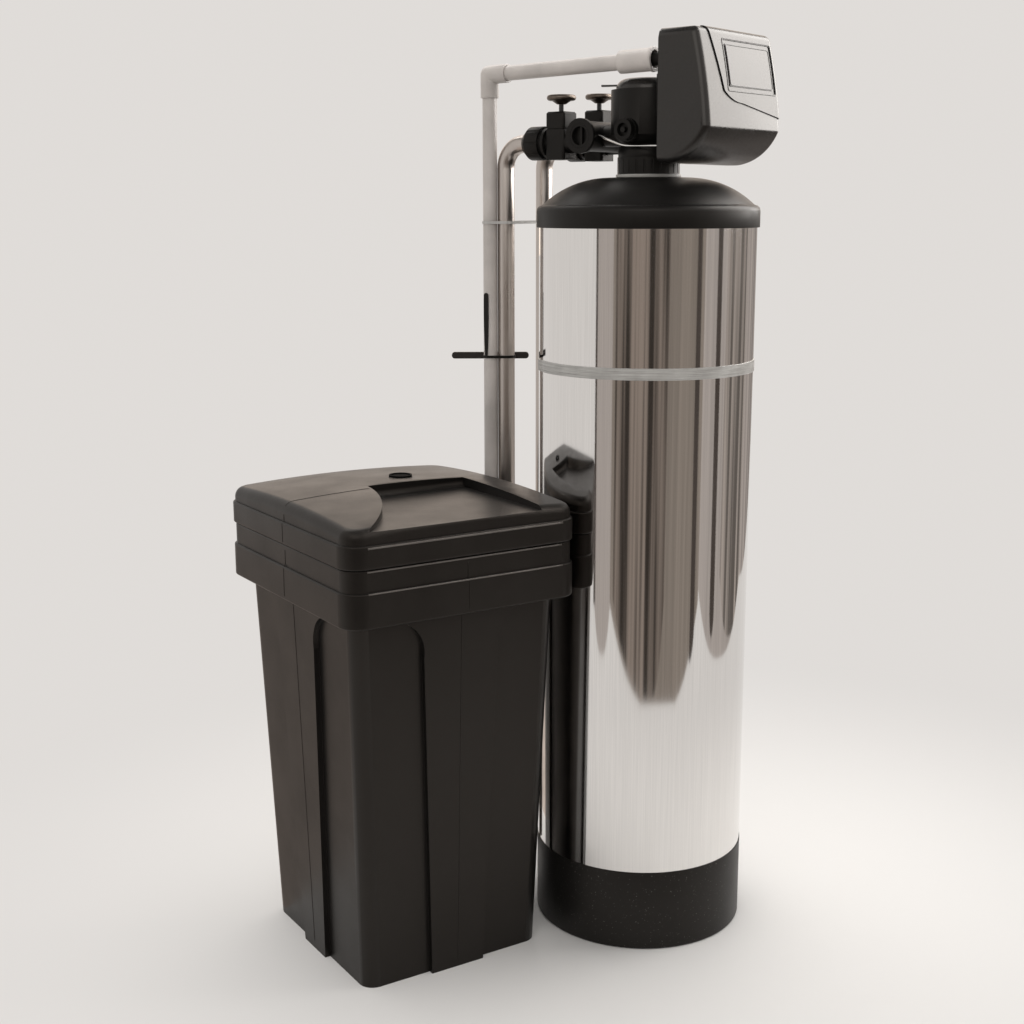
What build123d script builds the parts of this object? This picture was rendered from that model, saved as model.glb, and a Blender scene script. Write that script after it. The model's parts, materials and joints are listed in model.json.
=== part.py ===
from build123d import *
import os
from math import acos, atan2, cos, degrees, pi, radians, sin, sqrt

# A twin tank water softener, in millimetres.
# The origin is on the floor under the axis of the tall mineral tank, and Z is up.
# X and Y follow the sides of the square brine tank, whose front faces -Y.
# The valve and its pipes are drawn in their own frame, which turns with HEAD_YAW about Z.

# Fits shared by every piece
CUT = 2.0                    # overrun of a cut past the face that it opens
SEAT = 0.3                   # gap where one piece rests in or beside another
RUN = 0.05                   # radial running gap of a shaft in its bore

# Tall mineral tank
TANK_R = 155.0               # outside of the polished jacket
JACKET_WALL = 1.0
JACKET_TOP = 1064.0
VESSEL_GAP = 5.0             # air between the jacket and the pressure vessel
VESSEL_WALL = 4.5
VESSEL_FOOT = 10.0           # lowest point of the vessel over the floor
BOTTOM_DOME = 70.0           # depth of the vessel's bottom dome
TOP_DOME = 88.0
SHOULDER_Z = 1010.0          # where the top dome starts
NECK_R = 39.5
NECK_BORE_R = 31.8
NECK_TOP = 1112.0

# Boot under the tank
BOOT_R = 155.8
BOOT_H = 120.4
BOOT_WALL = 6.0
BOOT_FLOOR = 5.0
BOOT_EDGE = 4.0              # round of the bottom corner
BOOT_SPIGOT = 14.0           # height of the lip inside the jacket
CRADLE_R = 104.0             # ring that carries the vessel's dome
CRADLE_WALL = 6.0

# Cap over the top of the tank
CAP_R = 158.7
CAP_Z = 1039.0
CAP_ROUND_Z = 1062.0         # where the rim starts to round over
CAP_SHOULDER_R = 150.5
CAP_SHOULDER_Z = 1070.0
CAP_MID_R = 105.0
CAP_MID_Z = 1099.0
CAP_TOP_R = 54.0
CAP_TOP_Z = 1108.0
CAP_WALL = 2.6

# Strap round the jacket
STRAP_Z = 845.0
STRAP_W = 16.0
STRAP_T = 1.5

# Neck fittings
RING_R = 46.1
RING_H = 4.6
COLLAR_R = 44.0
COLLAR_TOP = 1136.0
COLLAR_BORE_R = 28.6
COLLAR_RIBS = 24
COLLAR_RIB_R = 1.6
SPIGOT_LEN = 24.0

# Riser and its baskets, with the beds that they stand in
RISER_R = 13.35
RISER_BORE_R = 10.6
RISER_FOOT = 48.0
RISER_TOP = 1147.0
BASKET_R = 29.0
BASKET_WALL = 2.5
BASKET_FOOT = 20.0
BASKET_SHOULDER_Z = 62.0
BASKET_TOP = 84.0
BASKET_SLOTS = 16
BASKET_SLOT_W = 2.4
SCREEN_R = 27.0              # upper basket
SCREEN_FOOT = 1036.0
SCREEN_SLOTS = 16
SCREEN_SLOT_H = 38.0
GRAVEL_TOP = 150.0
RESIN_TOP = 760.0

# Control valve
HEAD_YAW = 18.6              # turn of the valve about the tank's axis, in degrees
BODY_R = 54.0
BODY_BASE_R = 43.0
BODY_WAIST_R = 40.0
BODY_WAIST_Z = 1153.0
BODY_SHOULDER_Z = 1166.0
BODY_TOP = 1228.0
DOME_EDGE_R = 47.5
DOME_CROWN_R = 30.0
DOME_H = 15.0
DOME_EAR_R = 68.0
DOME_EAR_W = 9.0
DOME_EAR_T = 2.4
DOME_EAR_Z = 5.5             # height of the ear over the dome's foot
DOME_EAR_TURN = 118.0
PISTON_Z = 1190.0
BORE_R = 20.0
BORE_END = 44.0
HOUSING_R = 30.0
FLANGE_BACK = -67.0
FLANGE_FRONT = -75.0
FLANGE_HALF = 50.0
FLANGE_LOW = 1146.0
FLANGE_HIGH = 1234.0
FLANGE_ROUND = 8.0
PORT_X = 24.0                # ports between the valve and the bypass
PORT_Z = 1166.0
PORT_R = 15.0
PORT_BORE_R = 10.5
PORT_FACE = 54.0
PORT_ROOT = 24.0
PASSAGE_R = 6.0              # from each port to the piston bore
CENTRE_BORE_R = 11.0
INJECTOR_Y = -1.0
INJECTOR_Z = 1172.0
INJECTOR_BOSS_R = 16.0
INJECTOR_FACE = 58.0
INJECTOR_BORE_R = 9.0
INJECTOR_DEPTH = 18.0
BRINE_PORT_Y = -12.0
BRINE_PORT_R = 11.0
BRINE_BORE_R = 4.8
DRAIN_BOSS_R = 12.0
DRAIN_BOSS_TOP = 1236.0
DRAIN_BORE_R = 6.5
BRIDGE_H = 4.0               # bridges that carry the turbine's shaft
BRIDGE_T = 2.5

# Piston, seals and plug
PISTON_R = 13.4
PISTON_LEN = 46.0
PISTON_BACK = 38.0           # rear face of the piston at rest
PISTON_WAIST_R = 10.2
PISTON_WAIST_LEN = 16.0
ROD_R = 5.0
ROD_FRONT = -98.0
STACK_FRONT = -61.7
RING_COUNT = 5
RING_T = 4.0
STACK_R = 19.7
SPACER_BORE_R = 15.6
SPACER_WINDOWS = 6
SPACER_WINDOW_W = 8.0
SPACER_LAND = 4.0
PLUG_BACK = -62.0
SNOUT_R = 12.0
SNOUT_FRONT = -90.0

# Injector, brine elbow and meter
INJECTOR_CAP_R = 14.5
INJECTOR_CAP_T = 9.0
INJECTOR_SOCKET_R = 7.5
INJECTOR_SOCKET_DEPTH = 6.0
THROAT_R = 6.0
THROAT_LEN = 20.0
THROAT_BORE_R = 1.6
THROAT_MOUTH_R = 4.2
ELBOW_R = 8.0
ELBOW_NUT_R = 10.5
ELBOW_NUT_T = 9.0
ELBOW_OUT = 20.0
ELBOW_BORE_R = 4.9
ELBOW_ARM_BORE_R = 3.0
TURBINE_R = 9.6
TURBINE_HUB_R = 3.0
TURBINE_LEN = 13.0
TURBINE_BLADES = 6
BLADE_T = 1.2
BLADE_TILT = 30.0
TURBINE_SHAFT_R = 1.5
TURBINE_Y = 40.0
SHAFT_REACH = 9.4            # half length of the turbine's shaft

# Drive behind the cover
PLATE_T = 2.5
COVER_INSET = 3.2            # plate edge inside the cover's outline
GEAR_MODULE = 1.25
GEAR_TEETH = 64
IDLER_SMALL_TEETH = 12
WHEEL_MODULE = 1.0
IDLER_LARGE_TEETH = 36
PINION_TEETH = 10
GEAR_FACE = 8.0
WHEEL_FACE = 5.0
GEAR_BACK = -80.0            # rear face of the main gear
WHEEL_BACK = -91.0
GEAR_PLAY = 0.25             # added to each centre distance
IDLER_ANGLE = 45.0
PINION_ANGLE = -10.0
AXLE_R = 2.5
GEAR_WEB = 4.0
GEAR_RIM = 4.0
GEAR_HUB = 3.5
MOTOR_R = 13.0
MOTOR_LEN = 28.0
MOTOR_SHAFT_R = 1.5
MOTOR_NOSE_R = 4.0
MOTOR_NOSE_T = 2.0
BRACKET_BACK = -103.5
BRACKET_T = 2.5
BRACKET_LEFT = -56.0
BRACKET_RIGHT = 76.0
BRACKET_LOW = 1175.0
BRACKET_HIGH = 1250.0
BRACKET_ROUND = 6.0
POST_R = 4.0
POST_INSET = 6.0
STUD_R = 2.6
BOARD_BACK = -126.4
BOARD_T = 1.6
BOARD_LEFT = -58.0
BOARD_RIGHT = 36.0
BOARD_LOW = 1216.0
BOARD_HIGH = 1280.0
CHIP_W = 14.0
CHIP_H = 10.0
CHIP_T = 3.0
SCREW_R = 2.5
SCREW_HEAD_R = 4.6
SCREW_HEAD_T = 2.1
SCREW_X = 42.0
SCREW_LOW = 1153.0
SCREW_HIGH = 1227.0
SCREW_DEPTH = 6.0

# Cover of the valve head
COVER_HALF = 97.0
COVER_BACK = -77.8
COVER_WALL = 2.5
COVER_TOP = 1298.0
COVER_TOP_FRONT = -134.0
COVER_MID_FRONT = -149.5
COVER_MID_Z = 1225.0
COVER_FOLD = -156.0
COVER_FOLD_Z = 1170.0
CHIN_MID = -139.0
CHIN_MID_Z = 1146.0
CHIN_BACK_Z = 1125.0
CHIN_BACK = -92.0
COVER_ROUND = 10.0
PANEL_PROUD = 1.8            # front panel over the cover's face
PANEL_LEFT = -70.0
PANEL_BEND_X = -50.0
PANEL_BEND_Z = 1218.0
PANEL_TURN_X = -37.0
PANEL_TURN_Z = 1210.0
PANEL_SLOPE_X = -8.0
PANEL_SLOPE_Z = 1203.5
PANEL_LOW_Z = 1187.0
PANEL_EDGE = 1.2
WINDOW_LEFT = -40.0
WINDOW_RIGHT = 84.0
WINDOW_LOW = 1219.0
WINDOW_HIGH = 1284.0
WINDOW_ROUND = 3.0
WINDOW_DEPTH = 1.1
WINDOW_FRAME = 5.0

# Bypass behind the valve
MANIFOLD_Y = 75.0
MANIFOLD_R = 21.0
MANIFOLD_HALF = 58.0
MANIFOLD_BORE_R = 16.5
END_FLANGE_R = 24.3
END_FLANGE_T = 6.0
PLUG_DEPTH = 12.0
PLUG_SOCKET_R = 13.0
PLUG_WEB = 4.0
PLUG_KEY_W = 4.0
CHEST_X = 46.5               # half the distance between the two lines
CHEST_Y = 120.0
CHEST_SIZE = 33.0
CHEST_LOW = 1134.0
CHEST_HIGH = 1176.0
CHEST_ROUND = 4.0
CHEST_BORE_R = 11.0
CHEST_FLOOR = 8.0
FAR_LIFT = 6.0               # the far bypass valve stands a little taller
LINE_Z = 1158.0              # axis of the water lines
LINE_BORE_R = 9.5
TAIL_R = 16.5
TAIL_END = 156.0
BONNET_H = 25.0
BONNET_SPIGOT = 6.0
BONNET_CHAMFER = 2.5
BONNET_GROOVE = 2.0          # shadow gap between a bonnet and its chest
STEM_R = 3.6
STEM_FOOT = 1150.0
DISC_R = 9.2
DISC_T = 6.0
DISC_FOOT = 1145.6
WHEEL_R = 21.0
WHEEL_Z = 1220.5             # middle of the handwheel's rim
WHEEL_HALF_T = 4.0
WHEEL_HUB_R = 6.5
WHEEL_HUB_Z = 1211.5
WHEEL_DISH = 2.2
WHEEL_DISH_R = 14.0
NUT_R = 24.0
NUT_FRONT = 138.5
NUT_END = 181.0
NUT_COLLAR_R = 21.5
NUT_GROOVE_R = 20.5
NUT_GROOVE_W = 4.0
NUT_COLLAR_W = 5.0
NUT_TAIL_R = 16.0
NUT_LOBES = 8
NUT_LOBE_R = 1.8
CLIP_R = 1.7
CLIP_X = 47.0

# Metal pipes
PIPE_R = 12.7
PIPE_WALL = 1.2
PIPE_START = 156.3
PIPE_BACK = 223.0
PIPE_BEND = 34.0
PIPE_FOOT = 60.0

# Plastic drain line
DRAIN_R = 10.65
DRAIN_WALL = 2.7
DRAIN_ANGLE = 129.0          # where the drain pipe stands beside the left pipe
DRAIN_ELBOW_Z = 1257.5
DRAIN_TOP_X = -40.0
DRAIN_TOP_Y = -35.0
DRAIN_TOP_Z = 1265.0
SOCKET_R = 13.2
SOCKET_LEN = 33.0
SOCKET_DEPTH = 19.0
COUPLING_R = 15.6
COUPLING_LIP_R = 16.8
COUPLING_LIP = 5.0
COUPLING_LEN = 54.0
COUPLING_MOUTH_R = 12.2
COUPLING_MOUTH = 22.0
FITTING_R = 8.6
FITTING_BORE_R = 5.5
FITTING_HEX_R = 12.5
FITTING_HEX_T = 9.0
FITTING_REACH = 14.0
FITTING_GAP = 17.0

# Ties and brace of the pipes
TIE_T = 1.2
TIE_W = 4.0
UPPER_TIE_Z = 1045.0
LOWER_TIE_Z = 845.0
TAIL_TURN = 35.0             # how far round the drain pipe the tail stands
TAIL_LEN = 98.0
TAIL_W = 8.0
BRACE_T = 10.0
BRACE_LEFT = 73.0
BRACE_RIGHT = 47.0

# Square brine tank
BRINE_X = -339.0
BRINE_Y = 134.6
FLOOR_HALF_X = 142.4
FLOOR_HALF_Y = 150.7
WAIST_HALF_X = 160.0         # under the rim
WAIST_HALF_Y = 171.0
WAIST_Z = 533.5
CORNER_R = 22.0
BRINE_WALL = 4.0
RIM_HALF_X = 180.6
RIM_HALF_Y = 199.8
RIM_TOP = 612.4
RIM_CORNER_R = 30.0
RIM_STEP_Z = 582.0
RIM_STEP = 3.2
PANEL_RAISE = 8.0            # side panels over the corner columns
PANEL_FOOT_HALF = 42.0
PANEL_HEAD_HALF = 58.0
SIDE_FOOT_HALF = 34.0         # the same panel on the left and right walls
SIDE_HEAD_HALF = 60.0
ARCH_Z = 476.0
ARCH_R = 54.0
ARCH_W = 38.0

# Lid of the brine tank
LID_STEP_Z = 644.8
LID_STEP = 3.2
LID_CROWN_Z = 678.0
LID_CROWN_R = 2300.0
LID_ROUND = 15.0
LID_LIP_GAP = 1.5
RECESS_LEFT = -39.0
RECESS_RIGHT = 119.0
RECESS_BACK = 18.0
RECESS_FRONT_LEFT = -154.0
RECESS_FLOOR = 661.0
NOSE_BULGE = 24.0
FRONT_ROLL = 9.0             # round of the recess floor's front edge
PLUG_X = 40.0
PLUG_Y = 66.0
LID_PLUG_R = 17.0
LID_PLUG_T = 7.0
LID_PLUG_RIM = 1.4

# Inside the brine tank
WELL_X = -74.0
WELL_Y = 82.0
WELL_R = 50.0
WELL_WALL = 3.0
WELL_TOP = 560.0
WELL_SLOTS = 8
WELL_SLOT_W = 5.0
WELL_SLOT_H = 40.0
WELL_SLOT_Z = 20.0
CAP_SKIRT = 14.0
CAP_T = 3.0
CAP_GRIP_R = 14.0
CAP_GRIP_H = 9.0
GRID_Z = 70.0
GRID_T = 5.0
GRID_HALF_X = 132.0
GRID_HALF_Y = 140.0
GRID_HOLE_R = 9.0
GRID_PITCH = 36.0
GRID_LEG_R = 8.0
AIR_CHECK_R = 19.0
AIR_CHECK_H = 62.0
BRINE_ROD_R = 5.0
BRINE_ROD_TOP = 520.0
BRINE_HEAD_R = 13.0
BRINE_HEAD_H = 26.0
FLOAT_R = 24.0
FLOAT_H = 60.0
OVERFLOW_Z = 470.0
OVERFLOW_R = 9.0
OVERFLOW_BORE_R = 6.5
OVERFLOW_NUT_R = 15.0
OVERFLOW_NUT_T = 6.0
OVERFLOW_REACH = 34.0
OVERFLOW_DROP = 30.0

# Values that follow from the sizes above
VESSEL_R = TANK_R - JACKET_WALL - VESSEL_GAP
VESSEL_IN_R = VESSEL_R - VESSEL_WALL
DOME_Z = VESSEL_FOOT + BOTTOM_DOME
RING_TOP = CAP_TOP_Z + RING_H
PLATE_FRONT = FLANGE_FRONT - PLATE_T
IDLER_GAP = (GEAR_TEETH + IDLER_SMALL_TEETH) * GEAR_MODULE / 2 + GEAR_PLAY
PINION_GAP = (IDLER_LARGE_TEETH + PINION_TEETH) * WHEEL_MODULE / 2 + GEAR_PLAY
IDLER_X = IDLER_GAP * cos(radians(IDLER_ANGLE))
IDLER_Z = PISTON_Z + IDLER_GAP * sin(radians(IDLER_ANGLE))
PINION_X = IDLER_X + PINION_GAP * cos(radians(PINION_ANGLE))
PINION_Z = IDLER_Z + PINION_GAP * sin(radians(PINION_ANGLE))
BRACKET_FRONT = BRACKET_BACK - BRACKET_T
DRAIN_X = -CHEST_X + (PIPE_R + DRAIN_R + SEAT) * cos(radians(DRAIN_ANGLE))
DRAIN_Y = PIPE_BACK + (PIPE_R + DRAIN_R + SEAT) * sin(radians(DRAIN_ANGLE))
LID_FOOT = RIM_TOP + SEAT
FLOAT_Z = BRINE_WALL + AIR_CHECK_H + SEAT
PASSAGE_TURN = degrees(atan2(PORT_X, PISTON_Z - PORT_Z))
# Shares of a gear tooth's pitch that its root and its tip fill, each side of the middle
ROOT_SHARE = 0.33
PITCH_SHARE = 0.21
TIP_SHARE = 0.10
ADDENDUM_SHARE = 0.90        # of the module
DEDENDUM_SHARE = 1.25


# Drawing helpers

def outline(*steps):
    """A closed face. A step is a corner, a pair of points for an arc, or an edge as it is."""
    here = steps[0]
    edges = []
    for step in steps[1:]:
        if isinstance(step, Edge):
            edges.append(step)
            here = step @ 1
            continue
        if isinstance(step[0], tuple):
            edges.append(ThreePointArc(here, step[0], step[1]))
            here = step[1]
            continue
        edges.append(Line(here, step))
        here = step
    if (Vector(here) - Vector(steps[0])).length > RUN:
        edges.append(Line(here, steps[0]))
    return make_face(edges)


def turned(*steps):
    """The solid that an outline of (radius, height) points sweeps round Z."""
    return revolve(Plane.XZ * outline(*steps), Axis.Z)


def rod(radius, low, high):
    return Pos(0, 0, low) * extrude(Circle(radius), high - low)


def tube(radius, bore, low, high):
    return rod(radius, low, high) - rod(bore, low - CUT, high + CUT)


def along_y(solid, x, z):
    """Lay a solid that was drawn round Z along Y, so that its height becomes Y."""
    return Pos(x, 0, z) * Rot(-90, 0, 0) * solid


def along_x(solid, y, z):
    """Lay a solid that was drawn round Z along X, so that its height becomes X."""
    return Pos(0, y, z) * Rot(0, 90, 0) * solid


def block(x0, x1, y0, y1, z0, z1):
    centre = Pos((x0 + x1) / 2, (y0 + y1) / 2, (z0 + z1) / 2)
    return centre * Box(x1 - x0, y1 - y0, z1 - z0)


def slab(half_x, half_y, corner, low, high):
    """A block with rounded upright corners, centred on Z."""
    return Pos(0, 0, low) * extrude(RectangleRounded(2 * half_x, 2 * half_y, corner), high - low)


def ring_of(count, make):
    """Copies of a solid, one for each equal turn about Z."""
    return [Rot(0, 0, k * 360 / count) * make for k in range(count)]


def on_head(solid):
    """Turn a piece from the valve's frame into the part's frame."""
    return Rot(0, 0, HEAD_YAW) * solid


def at_brine(solid):
    return Pos(BRINE_X, BRINE_Y, 0) * solid


def save(solid, name):
    export_step(solid, f"parts/{name}.step")


# Tall tank

def dome_edge(radius, depth, z, low):
    """Half of a dome's outline, from the axis to the wall or from the wall to the neck."""
    if low:
        return EllipticalCenterArc((0, z), radius, depth, start_angle=270, arc_size=90)
    reach = degrees(acos(NECK_BORE_R / radius))
    return EllipticalCenterArc((0, z), radius, depth, start_angle=0, arc_size=reach)


def bottom_dome(grow, top):
    """The room under a level that the vessel's wall, grown by a gap, would fill."""
    radius = VESSEL_R + grow
    return turned((0, DOME_Z - BOTTOM_DOME - grow), dome_edge(radius, BOTTOM_DOME + grow, DOME_Z, True),
                  (radius, top), (0, top))


def mineral_tank():
    outer = turned((0, VESSEL_FOOT), dome_edge(VESSEL_R, BOTTOM_DOME, DOME_Z, True),
                   (VESSEL_R, SHOULDER_Z), dome_edge(VESSEL_R, TOP_DOME, SHOULDER_Z, False),
                   (0, SHOULDER_Z + TOP_DOME * sqrt(1 - (NECK_BORE_R / VESSEL_R) ** 2)))
    outer += rod(NECK_R, SHOULDER_Z + TOP_DOME / 2, NECK_TOP)
    low = VESSEL_FOOT + VESSEL_WALL
    high = TOP_DOME - VESSEL_WALL
    inner = turned((0, low), dome_edge(VESSEL_IN_R, BOTTOM_DOME - VESSEL_WALL, DOME_Z, True),
                   (VESSEL_IN_R, SHOULDER_Z), dome_edge(VESSEL_IN_R, high, SHOULDER_Z, False),
                   (0, SHOULDER_Z + high * sqrt(1 - (NECK_BORE_R / VESSEL_IN_R) ** 2)))
    return outer - inner - rod(NECK_BORE_R, SHOULDER_Z, NECK_TOP + CUT)


def tank_boot():
    lip = TANK_R - JACKET_WALL - SEAT
    inside = BOOT_R - BOOT_WALL
    cup = turned((0, 0), (BOOT_R - BOOT_EDGE, 0),
                 ((BOOT_R - BOOT_EDGE * (1 - sin(pi / 4)), BOOT_EDGE * (1 - cos(pi / 4))), (BOOT_R, BOOT_EDGE)),
                 (BOOT_R, BOOT_H), (lip, BOOT_H), (lip, BOOT_H + BOOT_SPIGOT),
                 (inside, BOOT_H + BOOT_SPIGOT), (inside, BOOT_FLOOR), (0, BOOT_FLOOR))
    cradle = tube(CRADLE_R, CRADLE_R - CRADLE_WALL, BOOT_FLOOR, DOME_Z)
    return cup + (cradle - bottom_dome(SEAT, DOME_Z + CUT))


def tank_jacket():
    return tube(TANK_R, TANK_R - JACKET_WALL, BOOT_H, JACKET_TOP)


def dome_cap():
    skirt = TANK_R + SEAT
    hole = NECK_R + SEAT
    ledge = TANK_R - JACKET_WALL - CAP_WALL
    corner = ((CAP_R + CAP_SHOULDER_R) / 2 + (CAP_R - CAP_SHOULDER_R) / 5,
              (CAP_ROUND_Z + CAP_SHOULDER_Z) / 2 + (CAP_SHOULDER_Z - CAP_ROUND_Z) / 5)
    return turned((hole, CAP_TOP_Z), (CAP_TOP_R, CAP_TOP_Z),
                  ((CAP_MID_R, CAP_MID_Z), (CAP_SHOULDER_R, CAP_SHOULDER_Z)),
                  (corner, (CAP_R, CAP_ROUND_Z)), (CAP_R, CAP_Z), (skirt, CAP_Z), (skirt, JACKET_TOP),
                  (ledge, JACKET_TOP), (CAP_SHOULDER_R - CAP_WALL, CAP_SHOULDER_Z - CAP_WALL),
                  ((CAP_MID_R, CAP_MID_Z - CAP_WALL), (CAP_TOP_R, CAP_TOP_Z - CAP_WALL)),
                  (hole, CAP_TOP_Z - CAP_WALL))


def tank_strap():
    return tube(TANK_R + STRAP_T, TANK_R, STRAP_Z - STRAP_W / 2, STRAP_Z + STRAP_W / 2)


def neck_ring():
    return tube(RING_R, NECK_R + SEAT, CAP_TOP_Z, RING_TOP)


def tank_adapter():
    collar = tube(COLLAR_R, COLLAR_BORE_R, RING_TOP, COLLAR_TOP)
    spigot = tube(NECK_BORE_R - SEAT, COLLAR_BORE_R, RING_TOP - SPIGOT_LEN, RING_TOP)
    notch = Pos(COLLAR_R + COLLAR_RIB_R / 2, 0, 0) * rod(COLLAR_RIB_R, RING_TOP + COLLAR_RIB_R,
                                                         COLLAR_TOP - 2 * COLLAR_RIB_R)
    return collar + spigot - ring_of(COLLAR_RIBS, notch)


def slots(radius, width, low, high, count):
    """Upright slots through a round wall."""
    half = count // 2
    cut = block(-radius - CUT, radius + CUT, -width / 2, width / 2, low, high)
    return [Rot(0, 0, k * 180 / half) * cut for k in range(half)]


def riser_tube():
    return tube(RISER_R, RISER_BORE_R, RISER_FOOT, RISER_TOP)


def bottom_basket():
    socket = RISER_R + SEAT
    inner = BASKET_R - BASKET_WALL
    shell = turned((0, BASKET_FOOT), (BASKET_R, BASKET_FOOT), (BASKET_R, BASKET_SHOULDER_Z),
                   (socket + BASKET_WALL, BASKET_TOP), (socket, BASKET_TOP), (socket, RISER_FOOT),
                   (RISER_BORE_R, RISER_FOOT), (RISER_BORE_R, RISER_FOOT - BASKET_WALL),
                   (inner, RISER_FOOT - BASKET_WALL), (inner, BASKET_FOOT + BASKET_WALL),
                   (0, BASKET_FOOT + BASKET_WALL))
    low = BASKET_FOOT + BASKET_WALL
    cuts = slots(BASKET_R, BASKET_SLOT_W, low, RISER_FOOT - 2 * BASKET_WALL, BASKET_SLOTS)
    return shell - cuts


def top_basket():
    socket = RISER_R + SEAT
    inner = SCREEN_R - BASKET_WALL
    cup = turned((socket, SCREEN_FOOT), (SCREEN_R, SCREEN_FOOT), (SCREEN_R, COLLAR_TOP - SEAT),
                 (inner, COLLAR_TOP - SEAT), (inner, SCREEN_FOOT + BASKET_WALL),
                 (socket, SCREEN_FOOT + BASKET_WALL))
    low = SCREEN_FOOT + 2 * BASKET_WALL
    wall = slots(SCREEN_R, BASKET_SLOT_W, low, low + SCREEN_SLOT_H, SCREEN_SLOTS)
    return cup - wall


def bed_room(low, high):
    """What fills the vessel between two levels, clear of the riser."""
    radius = VESSEL_IN_R - SEAT
    depth = BOTTOM_DOME - VESSEL_WALL - SEAT
    room = turned((0, DOME_Z - depth), dome_edge(radius, depth, DOME_Z, True), (radius, high), (0, high))
    if low > DOME_Z:
        room -= rod(VESSEL_R, 0, low)
    return room - rod(RISER_R + SEAT, low - CUT, high + CUT)


def gravel_bed():
    return bed_room(0, GRAVEL_TOP) - rod(BASKET_R + SEAT, 0, BASKET_TOP + SEAT)


def resin_bed():
    return bed_room(GRAVEL_TOP + SEAT, RESIN_TOP)


# Control valve

def valve_body():
    stack = turned((0, COLLAR_TOP), (BODY_BASE_R, COLLAR_TOP), (BODY_BASE_R, COLLAR_TOP + FLANGE_ROUND),
                   (BODY_WAIST_R, BODY_WAIST_Z), (BODY_R, BODY_SHOULDER_Z), (BODY_R, BODY_TOP), (0, BODY_TOP))
    housing = along_y(rod(HOUSING_R, FLANGE_FRONT, 0), 0, PISTON_Z)
    face = RectangleRounded(2 * FLANGE_HALF, FLANGE_HIGH - FLANGE_LOW, FLANGE_ROUND)
    flange = Pos(0, FLANGE_BACK, (FLANGE_LOW + FLANGE_HIGH) / 2) * Rot(90, 0, 0) * extrude(
        face, FLANGE_BACK - FLANGE_FRONT)
    body = stack + housing + flange
    for side in (-1, 1):
        body += along_y(rod(PORT_R, 0, PORT_FACE), side * PORT_X, PORT_Z)
    body += along_x(rod(INJECTOR_BOSS_R, -INJECTOR_FACE, 0), INJECTOR_Y, INJECTOR_Z)
    body += along_x(rod(BRINE_PORT_R, 0, INJECTOR_FACE), BRINE_PORT_Y, INJECTOR_Z)
    drain_y = DRAIN_TOP_Y - FITTING_GAP
    body += Pos(DRAIN_TOP_X, drain_y, 0) * rod(DRAIN_BOSS_R, PISTON_Z, DRAIN_BOSS_TOP)
    body -= along_y(rod(BORE_R, FLANGE_FRONT - CUT, BORE_END), 0, PISTON_Z)
    body -= rod(RISER_R + SEAT, COLLAR_TOP - CUT, RISER_TOP + SEAT)
    body -= rod(CENTRE_BORE_R, COLLAR_TOP, PISTON_Z)
    for side in (-1, 1):
        body -= along_y(rod(PORT_BORE_R, PORT_ROOT, PORT_FACE + CUT), side * PORT_X, PORT_Z)
        passage = Rot(0, -side * PASSAGE_TURN, 0) * rod(PASSAGE_R, 0, PORT_X)
        body -= Pos(side * PORT_X, PORT_ROOT + PASSAGE_R + CUT, PORT_Z) * passage
    body -= along_x(rod(INJECTOR_BORE_R, -INJECTOR_FACE - CUT, INJECTOR_DEPTH - INJECTOR_FACE),
                    INJECTOR_Y, INJECTOR_Z)
    body -= along_x(rod(THROAT_R + SEAT, -INJECTOR_FACE, THROAT_LEN + SEAT + INJECTOR_CAP_T - INJECTOR_FACE),
                    INJECTOR_Y, INJECTOR_Z)
    body -= along_x(rod(BRINE_BORE_R, PORT_ROOT, INJECTOR_FACE + CUT), BRINE_PORT_Y, INJECTOR_Z)
    body -= Pos(DRAIN_TOP_X, drain_y, 0) * rod(DRAIN_BORE_R, DRAIN_BOSS_TOP - FLANGE_HALF / 2,
                                               DRAIN_BOSS_TOP + CUT)
    for x in (-SCREW_X, SCREW_X):
        for z in (SCREW_LOW, SCREW_HIGH):
            body -= along_y(rod(SCREW_R, FLANGE_FRONT - CUT, FLANGE_FRONT + SCREW_DEPTH), x, z)
    for reach in (-SHAFT_REACH, SHAFT_REACH - BRIDGE_T):
        bridge = block(PORT_X - PORT_BORE_R, PORT_X + PORT_BORE_R, TURBINE_Y + reach,
                       TURBINE_Y + reach + BRIDGE_T, PORT_Z - BRIDGE_H / 2, PORT_Z + BRIDGE_H / 2)
        body += bridge - along_y(rod(TURBINE_SHAFT_R + RUN, PORT_ROOT, PORT_FACE), PORT_X, PORT_Z)
    return body


def valve_cap():
    dome = turned((0, BODY_TOP), (DOME_EDGE_R, BODY_TOP),
                  ((DOME_EDGE_R - (DOME_EDGE_R - DOME_CROWN_R) / 4, BODY_TOP + DOME_H * sin(pi / 4)),
                   (DOME_CROWN_R, BODY_TOP + DOME_H)), (0, BODY_TOP + DOME_H))
    ear = block(DOME_CROWN_R, DOME_EAR_R, -DOME_EAR_W / 2, DOME_EAR_W / 2,
                BODY_TOP + DOME_EAR_Z, BODY_TOP + DOME_EAR_Z + DOME_EAR_T)
    fitting = Pos(DRAIN_TOP_X, DRAIN_TOP_Y - FITTING_GAP, 0) * rod(FITTING_HEX_R + SEAT, BODY_TOP - CUT,
                                                                  BODY_TOP + DOME_H + CUT)
    return dome + Rot(0, 0, DOME_EAR_TURN) * ear - fitting


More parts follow.
